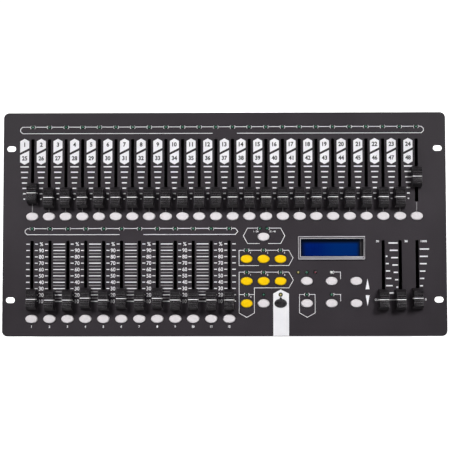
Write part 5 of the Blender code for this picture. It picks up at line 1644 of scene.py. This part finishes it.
def make_rocker():
    """Rocker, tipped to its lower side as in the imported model, with its two marks."""
    dip = ROCKER_CROWN - ROCKER_REACH * math.tan(ROCKER_THROW / 2)
    outline = []
    for i in range(-ROCKER_STEPS, ROCKER_STEPS + 1):
        share = i / ROCKER_STEPS
        sag = ROCKER_SAG * math.sin(math.pi * abs(share)) if share else 0.0
        outline.append((share * ROCKER_REACH, dip + (ROCKER_CROWN - dip) * abs(share) - sag))
    outline += [(ROCKER_REACH, 0.0), (ROCKER_KEEL_HALF, -ROCKER_KEEL),
                (-ROCKER_KEEL_HALF, -ROCKER_KEEL), (-ROCKER_REACH, 0.0)]
    body = loft([[(x, y, z) for z, y in outline] for x in (-ROCKER_HALF_WIDTH, ROCKER_HALF_WIDTH)])
    tilt = math.atan2(ROCKER_CROWN - dip, ROCKER_REACH)
    height = (ROCKER_CROWN + dip) / 2 - MARK_SUNK
    bar_mark = block(0, 0, BAR_MARK_WIDTH, MARK_THICKNESS, -BAR_MARK_HALF, BAR_MARK_HALF)
    bar_mark.transform(Matrix.Translation((0, height, -MARK_PLACE))
                       @ Matrix.Rotation(-tilt, 4, "X"))
    ring_mark = loft([circle(r * MM, z * MM, 24) for r, z in RING_MARK], closed=True)
    ring_mark.transform(Matrix.Translation((0, height, MARK_PLACE))
                        @ Matrix.Rotation(tilt, 4, "X") @ REARWARD)
    whole = joined([(softened(body, ROCKER_ROUND), 0), (bar_mark, 1), (ring_mark, 1)])
    whole.transform(Matrix.Translation((SWITCH_MIDDLE.x, TUB_HIGH.y - ROCKER_SUNK,
                                        SWITCH_MIDDLE.z))
                    @ Matrix.Rotation(ROCKER_THROW / 2, 4, "X"))
    return whole


switch_body = piece("power_switch_shell", smooth(make_switch_body(), 30.0), "console",
                    "switch_plastic", SOCKET_BLACK)
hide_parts("power_switch_body")
rocker = piece("power_rocker_moulding", smooth(make_rocker(), 30.0), "power_rocker",
               "switch_plastic", BLACK_KEY, INK)
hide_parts("power_rocker")


# Feet: four of moulded rubber, each held to the tub's floor by a screw sunk in its middle.
# The profile runs from the screw's seat round the rim to the top, in millimetres.
FEET = ("foot_front_left", "foot_front_right", "foot_rear_left", "foot_rear_right")
FOOT_PLACES = [(middle(foot).x, middle(foot).y) for foot in FEET]
FOOT_PROFILE = ((0, 2.6), (4.0, 2.6), (4.2, 2.4), (4.3, 0.5), (4.8, 0.0), (8.3, 0.0), (8.8, 0.3),
                (8.9, 0.8), (8.1, 4.6), (7.7, 5.0), (0, 5.0))
FOOT_RUBBER = finished("foot_rubber_black", screen(22, 22, 23), screen(36, 36, 37), (0.6, 0.75),
                       0.35 * MM, 5 * MM, relief=0.2)
foot_shape = turned([(r * MM, z * MM) for r, z in FOOT_PROFILE], 32)
feet = copies_of(foot_shape, [(x, y, 0.0) for x, y in FOOT_PLACES], FOOT_RUBBER)
feet_piece = piece("rubber_feet", smooth(feet), "console", "foot_rubber", FOOT_RUBBER)
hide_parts(*FEET)


# Case screws: zinc-plated pan heads with cross recesses, driven through the tub's walls into
# the panel's tabs, through the feet, and through the main board into its standoffs.
SCREW_RADIUS = 2.8 * MM
SCREW_HEIGHT = 1.7 * MM
SCREW_Z = PANEL_BOTTOM - 7.0 * MM
FOOT_SCREW_Z = 2.55 * MM
# sizes of a head as shares of its radius or height: its edge, and the arms of its recess
HEAD_EDGE = 0.35
RECESS_LENGTH = 1.1
RECESS_WIDTH = 0.26
RECESS_FLOOR = 0.4


def make_screw():
    """Pan head with its cross recess; z = 0 is the face that it is screwed against."""
    radius, height, edge = SCREW_RADIUS, SCREW_HEIGHT, HEAD_EDGE * SCREW_HEIGHT
    sides = dome(radius, edge, height - edge, (0, 25, 50, 72))
    head = turned([(0, 0), (radius, 0), *sides, (0, height)], 20)
    arm, slit = radius * RECESS_LENGTH, radius * RECESS_WIDTH
    for width, depth in ((arm, slit), (slit, arm)):
        head = cut(head, block(0, 0, width, depth, height * RECESS_FLOOR, height + PUNCH_EXCESS))
    return head


# each group of screws: a turn about an axis that points them outwards, and their places
SCREW_GROUPS = (
    (-90, "Y", [(TUB_LOW.x, CHANNEL_SLOT_Y, SCREW_Z)]),
    (90, "Y", [(TUB_HIGH.x, CHANNEL_SLOT_Y, SCREW_Z)]),
    (-90, "X", [(side * LONG_TAB_X, TUB_HIGH.y, SCREW_Z) for side in (-1, 1)]),
    (90, "X", [(side * LONG_TAB_X, TUB_LOW.y, SCREW_Z) for side in (-1, 1)]),
    (180, "X", [(x, y, FOOT_SCREW_Z) for x, y in FOOT_PLACES]),
    (0, "X", [(x, y, MAIN_TOP) for x, y in STANDOFFS]),
)
screws = []
for degrees, axis, places in SCREW_GROUPS:
    screw = make_screw()
    screw.transform(Matrix.Rotation(math.radians(degrees), 4, axis))
    screws.append((copies_of(screw, places, ZINC), 0))
piece("case_screws", smooth(joined(screws), 30.0), "console", "frame_metal", ZINC)


# Floor, light and camera: a pale floor, a softbox on each side that lights its own half of the
# console, a weak fill from the front, and a studio that is darker overhead than at its walls.
# The camera stands high over the panel.
FLOOR_REACH = 3.0
FLOOR_THICKNESS = 0.02
FLOOR_GLOW = 0.9


def seen_or_mirrored(tree):
    """1 for the rays that see a background straight, in a mirror or through glass."""
    path = tree.nodes.new("ShaderNodeLightPath")
    rays = path.outputs["Is Camera Ray"]
    for kind in ("Is Glossy Ray", "Is Transmission Ray"):
        rays = add_node(tree, "ShaderNodeMath", {0: rays, 1: path.outputs[kind]},
                        operation="MAXIMUM").outputs[0]
    return rays


def make_floor_paper():
    """White paper that shows white as a background and still takes the object's shadow."""
    material, tree, shader = new_material("white_floor_paper")
    shader.inputs["Base Color"].default_value = screen(240, 240, 240)
    shader.inputs["Roughness"].default_value = 0.9
    lift = add_node(tree, "ShaderNodeMath", {0: seen_or_mirrored(tree), 1: FLOOR_GLOW},
                    operation="MULTIPLY")
    glow = add_node(tree, "ShaderNodeEmission", {"Strength": lift.outputs[0]})
    both = add_node(tree, "ShaderNodeAddShader",
                    {0: shader.outputs["BSDF"], 1: glow.outputs["Emission"]})
    tree.links.new(both.outputs["Shader"], tree.nodes["Material Output"].inputs["Surface"])
    return material


floor = temporary(block(0, 0, 2 * FLOOR_REACH, 2 * FLOOR_REACH, -FLOOR_THICKNESS, 0.0))
floor.name = "floor"
floor.data.materials.append(make_floor_paper())

STUDIO_WALLS = 1.0
STUDIO_CEILING = 0.02
# height of the direction in which the walls have become the ceiling, 1 being straight up
CEILING_FROM = 0.3
world = bpy.data.worlds.new("studio")
bpy.context.scene.world = world
world.use_nodes = True
studio = world.node_tree
direction = studio.nodes.new("ShaderNodeTexCoord")
split = add_node(studio, "ShaderNodeSeparateXYZ", {"Vector": direction.outputs["Generated"]})
falling = add_node(studio, "ShaderNodeMapRange",
                   {"Value": split.outputs["Z"], "From Max": CEILING_FROM,
                    "To Min": STUDIO_WALLS, "To Max": STUDIO_CEILING})
studio.nodes["Background"].inputs["Color"].default_value = (1, 1, 1, 1)
studio.links.new(falling.outputs["Result"], studio.nodes["Background"].inputs["Strength"])

# softboxes: place, the point that is aimed at, width, spread in degrees and power
SIDE_BOX = (0.6, 0.45, PANEL_TOP + 0.72)
SIDE_AIM = (0.17, -0.03, PANEL_TOP)
SOFTBOXES = {
    "left_softbox": ((-SIDE_BOX[0], *SIDE_BOX[1:]), (-SIDE_AIM[0], *SIDE_AIM[1:]), 0.5, 40, 0.6),
    "right_softbox": (SIDE_BOX, SIDE_AIM, 0.5, 40, 0.6),
    "front_fill": ((0.0, -0.95, PANEL_TOP + 0.4), (0.0, 0.0, PANEL_TOP), 0.8, 60, 0.5),
}
SOFTBOX_HEIGHT = 0.2
for name, (place, aim, width, spread, power) in SOFTBOXES.items():
    light = bpy.data.lights.new(name, "AREA")
    light.shape = "RECTANGLE"
    light.size = width
    light.size_y = SOFTBOX_HEIGHT
    light.spread = math.radians(spread)
    light.energy = power
    softbox = bpy.data.objects.new(name, light)
    bpy.context.scene.collection.objects.link(softbox)
    softbox.location = place
    softbox.rotation_euler = (Vector(aim) - Vector(place)).to_track_quat("-Z", "Y").to_euler()
    softbox.visible_camera = False

CAMERA_PLACE = Vector((14.0 * MM, -89.3 * MM, PANEL_TOP + 1411.8 * MM))
CAMERA_AIM = Vector((0.77 * MM, -1.19 * MM, PANEL_TOP))
CAMERA_ROLL = math.radians(-0.078)
LENS = 104.0
SENSOR_WIDTH = 36.0
view = (CAMERA_AIM - CAMERA_PLACE).normalized()
across = view.cross(Vector((0, 1, 0))).normalized()
axes = Matrix((across, across.cross(view), -view)).transposed().to_4x4()
camera_data = bpy.data.cameras.new("camera")
camera_data.lens = LENS
camera_data.sensor_width = SENSOR_WIDTH
camera = bpy.data.objects.new("camera", camera_data)
bpy.context.scene.collection.objects.link(camera)
camera.matrix_world = (Matrix.Translation(CAMERA_PLACE) @ axes
                       @ Matrix.Rotation(CAMERA_ROLL, 4, "Z"))
bpy.context.scene.camera = camera
bpy.context.scene.view_settings.view_transform = "Standard"
